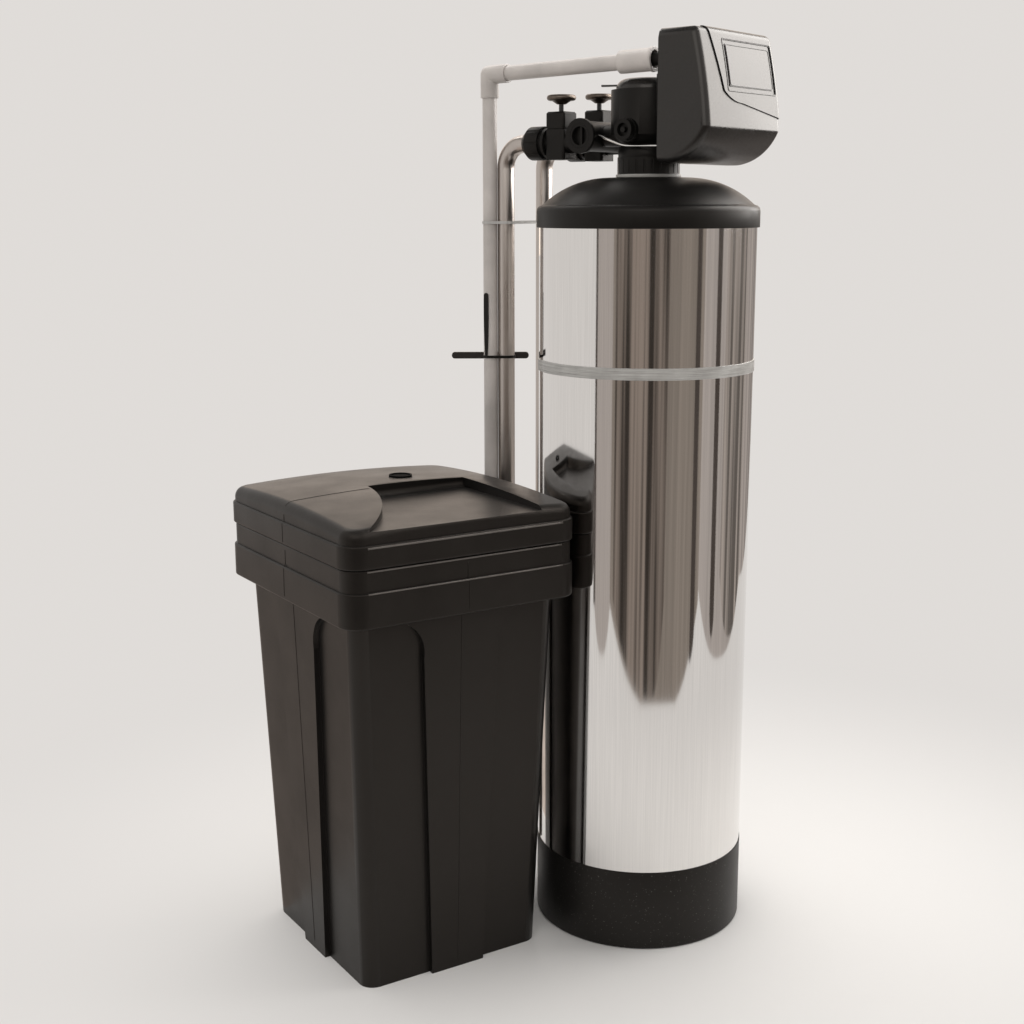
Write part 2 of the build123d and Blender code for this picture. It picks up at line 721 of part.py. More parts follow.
def piston():
    front = PISTON_BACK - PISTON_LEN
    land = (PISTON_LEN - PISTON_WAIST_LEN) / 2
    head = turned((0, front), (PISTON_R, front), (PISTON_R, front + land),
                  (PISTON_WAIST_R, front + land + SPACER_LAND / 2),
                  (PISTON_WAIST_R, PISTON_BACK - land - SPACER_LAND / 2),
                  (PISTON_R, PISTON_BACK - land), (PISTON_R, PISTON_BACK), (0, PISTON_BACK))
    return along_y(head + rod(ROD_R, ROD_FRONT, front), 0, PISTON_Z)


def spacer_len():
    return (BORE_END - SEAT - STACK_FRONT - RING_COUNT * RING_T) / (RING_COUNT - 1)


def seal_rings():
    pitch = spacer_len() + RING_T
    rings = []
    for k in range(RING_COUNT):
        low = STACK_FRONT + k * pitch
        rings.append(along_y(tube(STACK_R, PISTON_R + RUN, low, low + RING_T), 0, PISTON_Z))
    return Compound(rings)


def seal_spacers():
    pitch = spacer_len() + RING_T
    cages = []
    for k in range(RING_COUNT - 1):
        low = STACK_FRONT + RING_T + k * pitch
        cage = tube(STACK_R, SPACER_BORE_R, low, low + spacer_len())
        cage -= slots(STACK_R, SPACER_WINDOW_W, low + SPACER_LAND, low + spacer_len() - SPACER_LAND,
                      SPACER_WINDOWS)
        cages.append(along_y(cage, 0, PISTON_Z))
    return Compound(cages)


def bore_plug():
    plug = rod(BORE_R - SEAT, FLANGE_FRONT, PLUG_BACK) + rod(SNOUT_R, SNOUT_FRONT, FLANGE_FRONT)
    return along_y(plug - rod(ROD_R + RUN, SNOUT_FRONT - CUT, PLUG_BACK + CUT), 0, PISTON_Z)


def injector_cap():
    face = -INJECTOR_FACE
    cap = rod(INJECTOR_CAP_R, face - INJECTOR_CAP_T, face)
    cap += rod(INJECTOR_BORE_R - SEAT, face, face + INJECTOR_CAP_T)
    cap -= tube(INJECTOR_SOCKET_R + THROAT_BORE_R, INJECTOR_SOCKET_R / 2, face - INJECTOR_CAP_T - CUT,
                face - INJECTOR_CAP_T + INJECTOR_SOCKET_DEPTH)
    return along_x(cap, INJECTOR_Y, INJECTOR_Z)


def injector_throat():
    low = INJECTOR_CAP_T - INJECTOR_FACE
    middle = low + THROAT_LEN / 2
    nozzle = turned((THROAT_BORE_R, middle), (THROAT_MOUTH_R, low), (THROAT_R, low),
                    (THROAT_R, low + THROAT_LEN), (THROAT_MOUTH_R, low + THROAT_LEN))
    return along_x(nozzle, INJECTOR_Y, INJECTOR_Z)


def brine_elbow():
    start = INJECTOR_FACE
    corner = start + ELBOW_OUT - ELBOW_R
    nut = extrude(RegularPolygon(ELBOW_NUT_R, 6), ELBOW_NUT_T)
    arm = rod(ELBOW_R, start, corner) + Pos(0, 0, start) * nut
    arm += rod(BRINE_BORE_R - RUN, start - ELBOW_NUT_T, start)
    elbow = along_x(arm, BRINE_PORT_Y, INJECTOR_Z) + Pos(corner, BRINE_PORT_Y, INJECTOR_Z) * Sphere(ELBOW_R)
    leg = Pos(corner, BRINE_PORT_Y, 0) * rod(ELBOW_R, INJECTOR_Z - ELBOW_OUT, INJECTOR_Z)
    leg += Pos(corner, BRINE_PORT_Y, INJECTOR_Z - ELBOW_OUT) * nut
    bore = Pos(corner, BRINE_PORT_Y, 0) * rod(ELBOW_BORE_R, INJECTOR_Z - ELBOW_OUT - CUT, INJECTOR_Z)
    arm_bore = rod(ELBOW_ARM_BORE_R, start - ELBOW_NUT_T - CUT, corner)
    return elbow + leg - bore - along_x(arm_bore, BRINE_PORT_Y, INJECTOR_Z)


def meter_turbine():
    low = TURBINE_Y - TURBINE_LEN / 2
    wheel = rod(TURBINE_HUB_R, low, low + TURBINE_LEN)
    blade = block(0, TURBINE_R + CUT, -BLADE_T / 2, BLADE_T / 2, -TURBINE_LEN, TURBINE_LEN)
    blade = Pos(0, 0, TURBINE_Y) * Rot(BLADE_TILT, 0, 0) * blade
    fan = ring_of(TURBINE_BLADES, blade)
    room = rod(TURBINE_R, low, low + TURBINE_LEN)
    for vane in fan:
        wheel += vane & room
    shaft = rod(TURBINE_SHAFT_R, TURBINE_Y - SHAFT_REACH, TURBINE_Y + SHAFT_REACH)
    return along_y(wheel + shaft, PORT_X, PORT_Z)


# Drive behind the cover

def gear_face(teeth, module, turn):
    """Outline of a spur gear whose first tooth points along the local X turned by an angle."""
    pitch_r = teeth * module / 2
    radii = (pitch_r - DEDENDUM_SHARE * module, pitch_r, pitch_r + ADDENDUM_SHARE * module)
    shares = (ROOT_SHARE, PITCH_SHARE, TIP_SHARE)
    points = []
    for k in range(teeth):
        middle = radians(turn) + 2 * pi * k / teeth
        flank = [(r, middle - 2 * pi * s / teeth) for r, s in zip(radii, shares)]
        flank += [(r, middle + 2 * pi * s / teeth) for r, s in zip(reversed(radii), reversed(shares))]
        points += [(r * cos(a), r * sin(a)) for r, a in flank]
    return make_face(Polyline(*points, close=True))


def spur(teeth, module, back, face, x, z, turn):
    """A gear along Y whose rear face is at back and whose front face is nearer the cover."""
    upright = extrude(gear_face(teeth, module, turn), face)
    return Pos(x, back, z) * Rot(90, 0, 0) * upright


def gear_turn_for(teeth, toward):
    """Turn that puts a gap of the gear where the other gear's tooth comes in."""
    return toward + 180 / teeth


def drive_gear():
    gear = spur(GEAR_TEETH, GEAR_MODULE, GEAR_BACK, GEAR_FACE, 0, PISTON_Z, IDLER_ANGLE)
    root = GEAR_TEETH * GEAR_MODULE / 2 - DEDENDUM_SHARE * GEAR_MODULE - GEAR_RIM
    hub = SNOUT_R + GEAR_HUB
    pocket = tube(root, hub, GEAR_BACK - GEAR_FACE - CUT, GEAR_BACK - GEAR_FACE + (GEAR_FACE - GEAR_WEB))
    gear -= along_y(pocket, 0, PISTON_Z)
    return gear - along_y(rod(SNOUT_R + RUN, GEAR_BACK - GEAR_FACE - CUT, GEAR_BACK + CUT), 0, PISTON_Z)


def idler_gear():
    toward = IDLER_ANGLE + 180
    small = spur(IDLER_SMALL_TEETH, GEAR_MODULE, GEAR_BACK, GEAR_BACK - WHEEL_BACK, IDLER_X, IDLER_Z,
                 gear_turn_for(IDLER_SMALL_TEETH, toward))
    large = spur(IDLER_LARGE_TEETH, WHEEL_MODULE, WHEEL_BACK, WHEEL_FACE, IDLER_X, IDLER_Z, PINION_ANGLE)
    bore = along_y(rod(AXLE_R + RUN, WHEEL_BACK - WHEEL_FACE - CUT, GEAR_BACK + CUT), IDLER_X, IDLER_Z)
    return small + large - bore


def motor_pinion():
    toward = PINION_ANGLE + 180
    pinion = spur(PINION_TEETH, WHEEL_MODULE, WHEEL_BACK, WHEEL_FACE + WHEEL_MODULE, PINION_X, PINION_Z,
                  gear_turn_for(PINION_TEETH, toward))
    return pinion - along_y(rod(MOTOR_SHAFT_R + RUN, WHEEL_BACK - 2 * WHEEL_FACE, WHEEL_BACK + CUT),
                            PINION_X, PINION_Z)


def drive_motor():
    face = BRACKET_FRONT
    can = rod(MOTOR_R, face - MOTOR_LEN, face) + rod(MOTOR_NOSE_R, face, face + MOTOR_NOSE_T)
    can += rod(MOTOR_SHAFT_R, face, WHEEL_BACK)
    can += rod(MOTOR_NOSE_R, face - MOTOR_LEN - MOTOR_NOSE_T, face - MOTOR_LEN)
    return along_y(can, PINION_X, PINION_Z)


def bracket_posts():
    return [(BRACKET_LEFT + POST_INSET, BRACKET_LOW + POST_INSET),
            (BRACKET_LEFT + POST_INSET, BRACKET_HIGH - POST_INSET),
            (BRACKET_RIGHT - POST_INSET, BRACKET_LOW + POST_INSET),
            (BRACKET_RIGHT - POST_INSET, BRACKET_HIGH - POST_INSET)]


def board_studs():
    low = BOARD_LOW + POST_INSET
    high = BRACKET_HIGH - POST_INSET
    return [(BOARD_LEFT + 2 * POST_INSET, low), (BOARD_RIGHT - POST_INSET, low),
            (BOARD_LEFT + 2 * POST_INSET, high), (BOARD_RIGHT - POST_INSET, high)]


def drive_bracket():
    face = RectangleRounded(BRACKET_RIGHT - BRACKET_LEFT, BRACKET_HIGH - BRACKET_LOW, BRACKET_ROUND)
    middle = Pos((BRACKET_LEFT + BRACKET_RIGHT) / 2, BRACKET_BACK, (BRACKET_LOW + BRACKET_HIGH) / 2)
    bracket = middle * Rot(90, 0, 0) * extrude(face, BRACKET_T)
    bracket -= along_y(rod(ROD_R + POST_R, BRACKET_FRONT - CUT, BRACKET_BACK + CUT), 0, PISTON_Z)
    bracket -= along_y(rod(MOTOR_NOSE_R + SEAT, BRACKET_FRONT - CUT, BRACKET_BACK + CUT), PINION_X, PINION_Z)
    for x, z in bracket_posts():
        bracket += along_y(rod(POST_R, BRACKET_BACK, PLATE_FRONT), x, z)
    bracket += along_y(rod(AXLE_R, BRACKET_BACK, PLATE_FRONT), IDLER_X, IDLER_Z)
    for x, z in board_studs():
        bracket += along_y(rod(STUD_R, BOARD_BACK, BRACKET_FRONT), x, z)
    return bracket


def circuit_board():
    front = BOARD_BACK - BOARD_T
    board = block(BOARD_LEFT, BOARD_RIGHT, front, BOARD_BACK, BOARD_LOW, BOARD_HIGH)
    row = BOARD_HIGH - CHIP_H
    for k in range(3):
        left = BOARD_LEFT + CHIP_H + k * 2 * CHIP_W
        board += block(left, left + CHIP_W, front - CHIP_T, front, row - CHIP_H, row)
    low = BOARD_LOW + CHIP_H
    board += block(BOARD_LEFT + 2 * CHIP_W, BOARD_LEFT + 4 * CHIP_W, front - CHIP_T, front, low, low + CHIP_W)
    return board


def cover_side(inset):
    """Side view of the cover in Y and Z, drawn in from its outer skin by an inset."""
    top = COVER_TOP - inset
    fold = COVER_FOLD + inset
    low = CHIN_BACK_Z + inset
    return outline((COVER_BACK, low), (CHIN_BACK, low + inset / 4),
                   ((CHIN_MID + inset, CHIN_MID_Z + inset / 2), (fold, COVER_FOLD_Z)),
                   ((COVER_MID_FRONT + inset, COVER_MID_Z), (COVER_TOP_FRONT + inset, top)),
                   (COVER_BACK, top))


def cover_block(inset, round_r):
    half = COVER_HALF - inset
    solid = Pos(-half, 0, 0) * extrude(Plane.YZ * cover_side(inset), 2 * half)
    edges = [e for e in solid.edges() if e.center().Y < COVER_BACK - CUT]
    return fillet(edges, round_r)


def head_cover():
    shell = cover_block(0, COVER_ROUND) - cover_block(COVER_WALL, COVER_ROUND - COVER_WALL)
    mouth = block(COVER_WALL - COVER_HALF, COVER_HALF - COVER_WALL, COVER_BACK - CUT, COVER_BACK + CUT,
                  CHIN_BACK_Z + 2 * COVER_WALL, COVER_TOP - COVER_WALL)
    return shell - mouth


def panel_outline(grow):
    """The front panel seen from the front, in X and Z, with its S shaped lower edge."""
    right = COVER_HALF - PANEL_EDGE
    return outline((PANEL_LEFT - grow, COVER_TOP + CUT), (PANEL_BEND_X - grow, PANEL_BEND_Z),
                   ((PANEL_TURN_X - grow, PANEL_TURN_Z - grow), (PANEL_SLOPE_X, PANEL_SLOPE_Z - grow)),
                   (right, PANEL_LOW_Z - grow), (right, COVER_TOP + CUT))


def cover_panel():
    """A thin skin that follows the cover's front, with a framed window sunk in it."""
    proud = cover_block(-PANEL_PROUD, COVER_ROUND + PANEL_PROUD) - cover_block(0, COVER_ROUND)
    front = Plane((0, COVER_FOLD - 2 * CUT, 0), x_dir=(1, 0, 0), z_dir=(0, -1, 0))
    reach = COVER_TOP_FRONT + COVER_ROUND - COVER_FOLD
    mask = extrude(front * panel_outline(0), -(reach + 2 * CUT))
    skin = proud & mask
    window = RectangleRounded(WINDOW_RIGHT - WINDOW_LEFT, WINDOW_HIGH - WINDOW_LOW, WINDOW_ROUND)
    rest = RectangleRounded(WINDOW_RIGHT - WINDOW_LEFT - 2 * WINDOW_FRAME,
                            WINDOW_HIGH - WINDOW_LOW - 2 * WINDOW_FRAME, WINDOW_ROUND / 2)
    middle = Pos((WINDOW_LEFT + WINDOW_RIGHT) / 2, (WINDOW_LOW + WINDOW_HIGH) / 2)
    groove = extrude(front * (middle * (window - rest)), -(reach + 2 * CUT))
    keep = cover_block(WINDOW_DEPTH - PANEL_PROUD, COVER_ROUND)
    return skin - (groove - keep)


def back_plate():
    half = COVER_HALF - COVER_INSET
    low = CHIN_BACK_Z + COVER_INSET
    high = COVER_TOP - COVER_INSET
    face = RectangleRounded(2 * half, high - low, COVER_ROUND)
    plate = Pos(0, FLANGE_FRONT, (low + high) / 2) * Rot(90, 0, 0) * extrude(face, PLATE_T)
    plate -= along_y(rod(SNOUT_R + SEAT, PLATE_FRONT - CUT, FLANGE_FRONT + CUT), 0, PISTON_Z)
    for x in (-SCREW_X, SCREW_X):
        for z in (SCREW_LOW, SCREW_HIGH):
            plate -= along_y(rod(SCREW_R + SEAT, PLATE_FRONT - CUT, FLANGE_FRONT + CUT), x, z)
    return plate


def plate_screws():
    screws = []
    for x in (-SCREW_X, SCREW_X):
        for z in (SCREW_LOW, SCREW_HIGH):
            screw = rod(SCREW_HEAD_R, PLATE_FRONT - SCREW_HEAD_T, PLATE_FRONT)
            screw += rod(SCREW_R - RUN, PLATE_FRONT, FLANGE_FRONT + SCREW_DEPTH - SEAT)
            screws.append(along_y(screw, x, z))
    return Compound(screws)


# Bypass

def chest_top(side):
    return CHEST_HIGH + (FAR_LIFT if side > 0 else 0)


def bypass_body():
    spine = rod(MANIFOLD_R, -MANIFOLD_HALF, MANIFOLD_HALF)
    for side in (-1, 1):
        low = min(side * MANIFOLD_HALF, side * (MANIFOLD_HALF + END_FLANGE_T))
        spine += rod(END_FLANGE_R, low, low + END_FLANGE_T)
    body = along_x(spine, MANIFOLD_Y, PORT_Z)
    half = CHEST_SIZE / 2
    for side in (-1, 1):
        chest = slab(half, half, CHEST_ROUND, CHEST_LOW, chest_top(side))
        body += Pos(side * CHEST_X, CHEST_Y, 0) * chest
        body += along_y(rod(PORT_R, MANIFOLD_Y, CHEST_Y), side * CHEST_X, LINE_Z)
        body += along_y(rod(TAIL_R, CHEST_Y, TAIL_END), side * CHEST_X, LINE_Z)
        body += along_y(rod(PORT_R, PORT_FACE + SEAT, MANIFOLD_Y), side * PORT_X, PORT_Z)
    reach = MANIFOLD_HALF + END_FLANGE_T
    body -= along_x(rod(MANIFOLD_BORE_R, -reach - CUT, reach + CUT), MANIFOLD_Y, PORT_Z)
    for side in (-1, 1):
        body -= Pos(side * CHEST_X, CHEST_Y, 0) * rod(CHEST_BORE_R, CHEST_LOW + CHEST_FLOOR, chest_top(side) + CUT)
        body -= along_y(rod(LINE_BORE_R, MANIFOLD_Y, TAIL_END + CUT), side * CHEST_X, LINE_Z)
        body -= along_y(rod(PORT_BORE_R, PORT_FACE - CUT, MANIFOLD_Y), side * PORT_X, PORT_Z)
    return body


def bypass_end_plugs():
    face = MANIFOLD_HALF + END_FLANGE_T
    plug = rod(MANIFOLD_BORE_R - SEAT, face - PLUG_DEPTH, face - RUN)
    plug -= rod(PLUG_SOCKET_R, face - PLUG_DEPTH + PLUG_WEB, face + CUT)
    plug += block(-PLUG_SOCKET_R, PLUG_SOCKET_R, -PLUG_KEY_W / 2, PLUG_KEY_W / 2,
                  face - PLUG_DEPTH, face - PLUG_WEB)
    right = along_x(plug, MANIFOLD_Y, PORT_Z)
    return Compound([right, mirror(right, Plane.YZ)])


def bypass_bonnets():
    half = CHEST_SIZE / 2
    bonnets = []
    for side in (-1, 1):
        foot = chest_top(side)
        top = foot + BONNET_H
        bonnet = chamfer(slab(half, half, CHEST_ROUND, foot, top).faces().sort_by(Axis.Z)[-1].edges(),
                         BONNET_CHAMFER)
        bonnet -= slab(half + CUT, half + CUT, CHEST_ROUND, foot - CUT, foot + BONNET_GROOVE)
        bonnet += slab(half - BONNET_GROOVE, half - BONNET_GROOVE, CHEST_ROUND / 2, foot, foot + BONNET_GROOVE)
        bonnet += rod(CHEST_BORE_R - SEAT, foot - BONNET_SPIGOT, foot)
        bonnet -= rod(STEM_R + RUN, foot - BONNET_SPIGOT - CUT, top + CUT)
        bonnets.append(Pos(side * CHEST_X, CHEST_Y, 0) * bonnet)
    return Compound(bonnets)


def valve_disc(side):
    lift = chest_top(side) - CHEST_HIGH
    foot = DISC_FOOT + lift
    disc = rod(DISC_R, foot, foot + DISC_T) - rod(STEM_R + RUN, STEM_FOOT + lift, foot + DISC_T + CUT)
    return Pos(side * CHEST_X, CHEST_Y, 0) * disc


def handwheel(side):
    lift = chest_top(side) - CHEST_HIGH
    middle = WHEEL_Z + lift
    low = middle - WHEEL_HALF_T
    high = middle + WHEEL_HALF_T
    wheel = turned((0, STEM_FOOT + lift + RUN), (STEM_R, STEM_FOOT + lift + RUN), (STEM_R, WHEEL_HUB_Z + lift),
                   (WHEEL_HUB_R, WHEEL_HUB_Z + lift), (WHEEL_DISH_R, low),
                   (WHEEL_R - WHEEL_HALF_T, low), ((WHEEL_R, middle), (WHEEL_R - WHEEL_HALF_T, high)),
                   (WHEEL_DISH_R, high), (WHEEL_HUB_R, high - WHEEL_DISH), (0, high - WHEEL_DISH))
    return Pos(side * CHEST_X, CHEST_Y, 0) * wheel


def union_nuts():
    nuts = []
    collar = NUT_FRONT + NUT_COLLAR_W
    groove = collar + NUT_GROOVE_W
    shell = turned((0, NUT_FRONT), (NUT_COLLAR_R, NUT_FRONT), (NUT_COLLAR_R, collar), (NUT_GROOVE_R, collar),
                   (NUT_GROOVE_R, groove), (NUT_R, groove), (NUT_R, NUT_END - 2 * NUT_COLLAR_W),
                   (NUT_TAIL_R, NUT_END), (0, NUT_END))
    shell -= rod(TAIL_R + SEAT, NUT_FRONT - CUT, TAIL_END + SEAT)
    shell -= rod(PIPE_R + SEAT, NUT_FRONT, NUT_END + CUT)
    notch = Pos(NUT_R + NUT_LOBE_R / 2, 0, 0) * rod(NUT_LOBE_R, groove - CUT, NUT_END)
    shell -= ring_of(NUT_LOBES, notch)
    for side in (-1, 1):
        nuts.append(along_y(shell, side * CHEST_X, LINE_Z))
    return Compound(nuts)


def bypass_clips():
    """Bent wires that hold the bypass to the valve, low on each side of the body."""
    back = (-CLIP_X, MANIFOLD_Y - MANIFOLD_R - 2 * SEAT, PORT_Z)
    knee = (-CLIP_X, PORT_FACE / 5, BODY_WAIST_Z - CLIP_R)
    front = (2 * CLIP_R - CLIP_X, FLANGE_BACK + 2 * SEAT, FLANGE_LOW + 2 * CLIP_R)
    path = FilletPolyline(back, knee, front, radius=PORT_FACE)
    left = sweep(Plane(path @ 0, z_dir=path % 0) * Circle(CLIP_R), path)
    return Compound([left, mirror(left, Plane.YZ)])


# Pipes

def line_pipe(side):
    path = FilletPolyline((side * CHEST_X, PIPE_START, LINE_Z), (side * CHEST_X, PIPE_BACK, LINE_Z),
                          (side * CHEST_X, PIPE_BACK, PIPE_FOOT), radius=PIPE_BEND)
    face = Plane(path @ 0, z_dir=path % 0) * (Circle(PIPE_R) - Circle(PIPE_R - PIPE_WALL))
    return sweep(face, path)


def drain_frame():
    """A frame at the coupling's open end whose Z runs back along the drain pipe."""
    run = Vector(DRAIN_X, DRAIN_Y, DRAIN_ELBOW_Z) - Vector(DRAIN_TOP_X, DRAIN_TOP_Y, DRAIN_TOP_Z)
    return Plane((DRAIN_TOP_X, DRAIN_TOP_Y, DRAIN_TOP_Z), z_dir=run), run.length


def drain_coupling():
    frame, length = drain_frame()
    body = turned((COUPLING_MOUTH_R, 0), (COUPLING_LIP_R, 0), (COUPLING_LIP_R, COUPLING_LIP),
                  (COUPLING_R, COUPLING_LIP), (COUPLING_R, COUPLING_LEN), (DRAIN_R + RUN, COUPLING_LEN),
                  (DRAIN_R + RUN, COUPLING_LEN - SOCKET_DEPTH),
                  (DRAIN_R - DRAIN_WALL, COUPLING_LEN - SOCKET_DEPTH),
                  (DRAIN_R - DRAIN_WALL, COUPLING_MOUTH), (COUPLING_MOUTH_R, COUPLING_MOUTH))
    return frame * body


def drain_pipe_upper():
    frame, length = drain_frame()
    start = COUPLING_LEN - SOCKET_DEPTH + SEAT
    return frame * tube(DRAIN_R, DRAIN_R - DRAIN_WALL, start, length - SOCKET_LEN + SOCKET_DEPTH)


def drain_elbow():
    frame, length = drain_frame()
    corner = Vector(DRAIN_X, DRAIN_Y, DRAIN_ELBOW_Z)
    outer = Pos(corner) * Sphere(SOCKET_R) + frame * rod(SOCKET_R, length - SOCKET_LEN, length)
    outer += Pos(DRAIN_X, DRAIN_Y, 0) * rod(SOCKET_R, DRAIN_ELBOW_Z - SOCKET_LEN, DRAIN_ELBOW_Z)
    depth = SOCKET_LEN - SOCKET_DEPTH
    bore = DRAIN_R - DRAIN_WALL
    hollow = Pos(corner) * Sphere(bore) + frame * rod(bore, length - SOCKET_LEN, length)
    hollow += frame * rod(DRAIN_R + RUN, length - SOCKET_LEN - CUT, length - depth)
    hollow += Pos(DRAIN_X, DRAIN_Y, 0) * rod(bore, DRAIN_ELBOW_Z - SOCKET_LEN, DRAIN_ELBOW_Z)
    hollow += Pos(DRAIN_X, DRAIN_Y, 0) * rod(DRAIN_R + RUN, DRAIN_ELBOW_Z - SOCKET_LEN - CUT,
                                             DRAIN_ELBOW_Z - depth)
    return outer - hollow


def drain_pipe_lower():
    top = DRAIN_ELBOW_Z - SOCKET_LEN + SOCKET_DEPTH - SEAT
    return Pos(DRAIN_X, DRAIN_Y, 0) * tube(DRAIN_R, DRAIN_R - DRAIN_WALL, PIPE_FOOT, top)


def drain_fitting():
    """Black elbow from the valve's drain boss into the coupling's open end."""
    frame, length = drain_frame()
    y = DRAIN_TOP_Y - FITTING_GAP
    run = frame.z_dir
    corner = Vector(DRAIN_TOP_X, DRAIN_TOP_Y, DRAIN_TOP_Z) - run * (FITTING_GAP / run.Y)
    leg = Pos(corner.X, y, 0) * rod(FITTING_R, DRAIN_BOSS_TOP, corner.Z)
    leg += Pos(corner.X, y, DRAIN_BOSS_TOP) * extrude(RegularPolygon(FITTING_HEX_R, 6), FITTING_HEX_T)
    arm = frame * rod(FITTING_R, -FITTING_GAP / run.Y, FITTING_REACH)
    fitting = leg + Pos(corner) * Sphere(FITTING_R) + arm
    fitting -= Pos(corner) * Sphere(FITTING_BORE_R)
    fitting -= frame * rod(FITTING_BORE_R, -FITTING_GAP / run.Y, FITTING_REACH + CUT)
    fitting -= Pos(corner.X, y, 0) * rod(FITTING_BORE_R, DRAIN_BOSS_TOP - CUT, corner.Z)
    return fitting


def band_round(circles, low):
    """A tight band round several upright pipes, given as centres and radii."""
    inner = make_hull([e for x, y, r in circles for e in (Pos(x, y) * Circle(r + SEAT)).edges()])
    outer = make_hull([e for x, y, r in circles for e in (Pos(x, y) * Circle(r + SEAT + TIE_T)).edges()])
    return Pos(0, 0, low) * extrude(outer - inner, TIE_W)


def near_pipes():
    return [(-CHEST_X, PIPE_BACK, PIPE_R), (DRAIN_X, DRAIN_Y, DRAIN_R)]


def upper_pipe_tie():
    return band_round(near_pipes() + [(CHEST_X, PIPE_BACK, PIPE_R)], UPPER_TIE_Z - TIE_W / 2)


def brace_frame():
    """A frame at the left pipe's axis whose X runs from the drain pipe to the left pipe."""
    return Pos(-CHEST_X, PIPE_BACK, 0) * Rot(0, 0, DRAIN_ANGLE - 180)


def lower_pipe_tie():
    """A band round the two left pipes, with its loose tail standing up beside the drain pipe."""
    band = band_round(near_pipes(), LOWER_TIE_Z - TIE_W / 2)
    foot = TAIL_W / 4
    wide = TAIL_W / 2
    leaf = outline((-foot, 0), (foot, 0), ((wide, TAIL_LEN / 2), (wide, TAIL_LEN - wide)),
                   ((0, TAIL_LEN), (-wide, TAIL_LEN - wide)), ((-wide, TAIL_LEN / 2), (-foot, 0)))
    tangent = Plane((0, -DRAIN_R - SEAT, LOWER_TIE_Z - TIE_W / 2), x_dir=(1, 0, 0), z_dir=(0, -1, 0))
    sheet = Rot(0, 0, -TAIL_TURN) * extrude(tangent * leaf, TIE_T)
    drain = Pos(-PIPE_R - DRAIN_R - SEAT, 0, 0)
    return band + brace_frame() * drain * sheet


def pipe_brace():
    """A flat bar across the back of the two left pipes, held by the lower tie."""
    y = PIPE_R + TIE_T + 2 * SEAT
    bar = block(-BRACE_LEFT - DRAIN_R, BRACE_RIGHT - PIPE_R, y, y + BRACE_T / 2,
                LOWER_TIE_Z - BRACE_T / 2, LOWER_TIE_Z + BRACE_T / 2)
    ends = bar.edges().filter_by(Axis.Y)
    return brace_frame() * fillet(ends, BRACE_T / 2 - SEAT)


# Brine tank

def tapered(grow, low, high):
    """The tank's tapered body between two levels, grown outward all round."""
    sections = []
    for z in (low, high):
        share = z / WAIST_Z
        half_x = FLOOR_HALF_X + (WAIST_HALF_X - FLOOR_HALF_X) * share + grow
        half_y = FLOOR_HALF_Y + (WAIST_HALF_Y - FLOOR_HALF_Y) * share + grow
        sections.append(Pos(0, 0, z) * RectangleRounded(2 * half_x, 2 * half_y, CORNER_R + grow))
    return loft(sections)


def side_panel_outline(inset, foot_half, head_half):
    """A centre panel seen from the front: narrow at the foot and flared by an arch at the top."""
    wide = WAIST_HALF_Y + RIM_HALF_Y
    foot = foot_half - inset
    head = head_half - inset
    arch_x = head + ARCH_W
    arch_z = ARCH_Z + ARCH_R + inset
    knee = ARCH_W * (1 - cos(pi / 4))
    rise = ARCH_Z + inset + ARCH_R * sin(pi / 4)
    top = WAIST_Z + ARCH_R
    return outline((-foot, -CUT), (foot, -CUT), (head, ARCH_Z + inset), ((head + knee, rise), (arch_x, arch_z)),
                   (wide, arch_z), (wide, top), (-wide, top), (-wide, arch_z), (-arch_x, arch_z),
                   ((-head - knee, rise), (-head, ARCH_Z + inset)))


def raised_panels(inset):
    """The tapered body grown outward, kept only where the four centre panels stand."""
    reach = RIM_HALF_X + RIM_HALF_Y
    front = side_panel_outline(inset, PANEL_FOOT_HALF, PANEL_HEAD_HALF)
    side = side_panel_outline(inset, SIDE_FOOT_HALF, SIDE_HEAD_HALF)
    mask = extrude(Plane((0, reach, 0), x_dir=(1, 0, 0), z_dir=(0, -1, 0)) * front, 2 * reach)
    mask += extrude(Plane((-reach, 0, 0), x_dir=(0, 1, 0), z_dir=(1, 0, 0)) * side, 2 * reach)
    return tapered(PANEL_RAISE - inset, inset, WAIST_Z - inset) & mask


def brine_tank():
    deck = RIM_TOP - BRINE_WALL
    body = tapered(0, 0, deck) + raised_panels(0)
    rim = slab(RIM_HALF_X, RIM_HALF_Y, RIM_CORNER_R, WAIST_Z, RIM_STEP_Z)
    ends = rim.faces().sort_by(Axis.Z)
    rim = fillet(ends[-1].edges() + ends[0].edges(), RIM_STEP - SEAT)
    upper = slab(RIM_HALF_X - RIM_STEP, RIM_HALF_Y - RIM_STEP, RIM_CORNER_R - RIM_STEP, RIM_STEP_Z, RIM_TOP)
    upper = fillet(upper.faces().sort_by(Axis.Z)[-1].edges(), RIM_STEP)
    inner = slab(RIM_HALF_X - 2 * BRINE_WALL, RIM_HALF_Y - 2 * BRINE_WALL, RIM_CORNER_R - BRINE_WALL,
                 WAIST_Z - CUT, deck)
    lip = (rim + upper) - (inner - tapered(0, 0, deck))
    room = tapered(-BRINE_WALL, BRINE_WALL, RIM_TOP + CUT) + raised_panels(BRINE_WALL)
    tank = body + lip - room
    back = Rot(-90, 0, 0) * rod(OVERFLOW_R + SEAT, 0, RIM_HALF_X + RIM_HALF_Y)
    return at_brine(tank - Pos(0, 0, OVERFLOW_Z) * back)


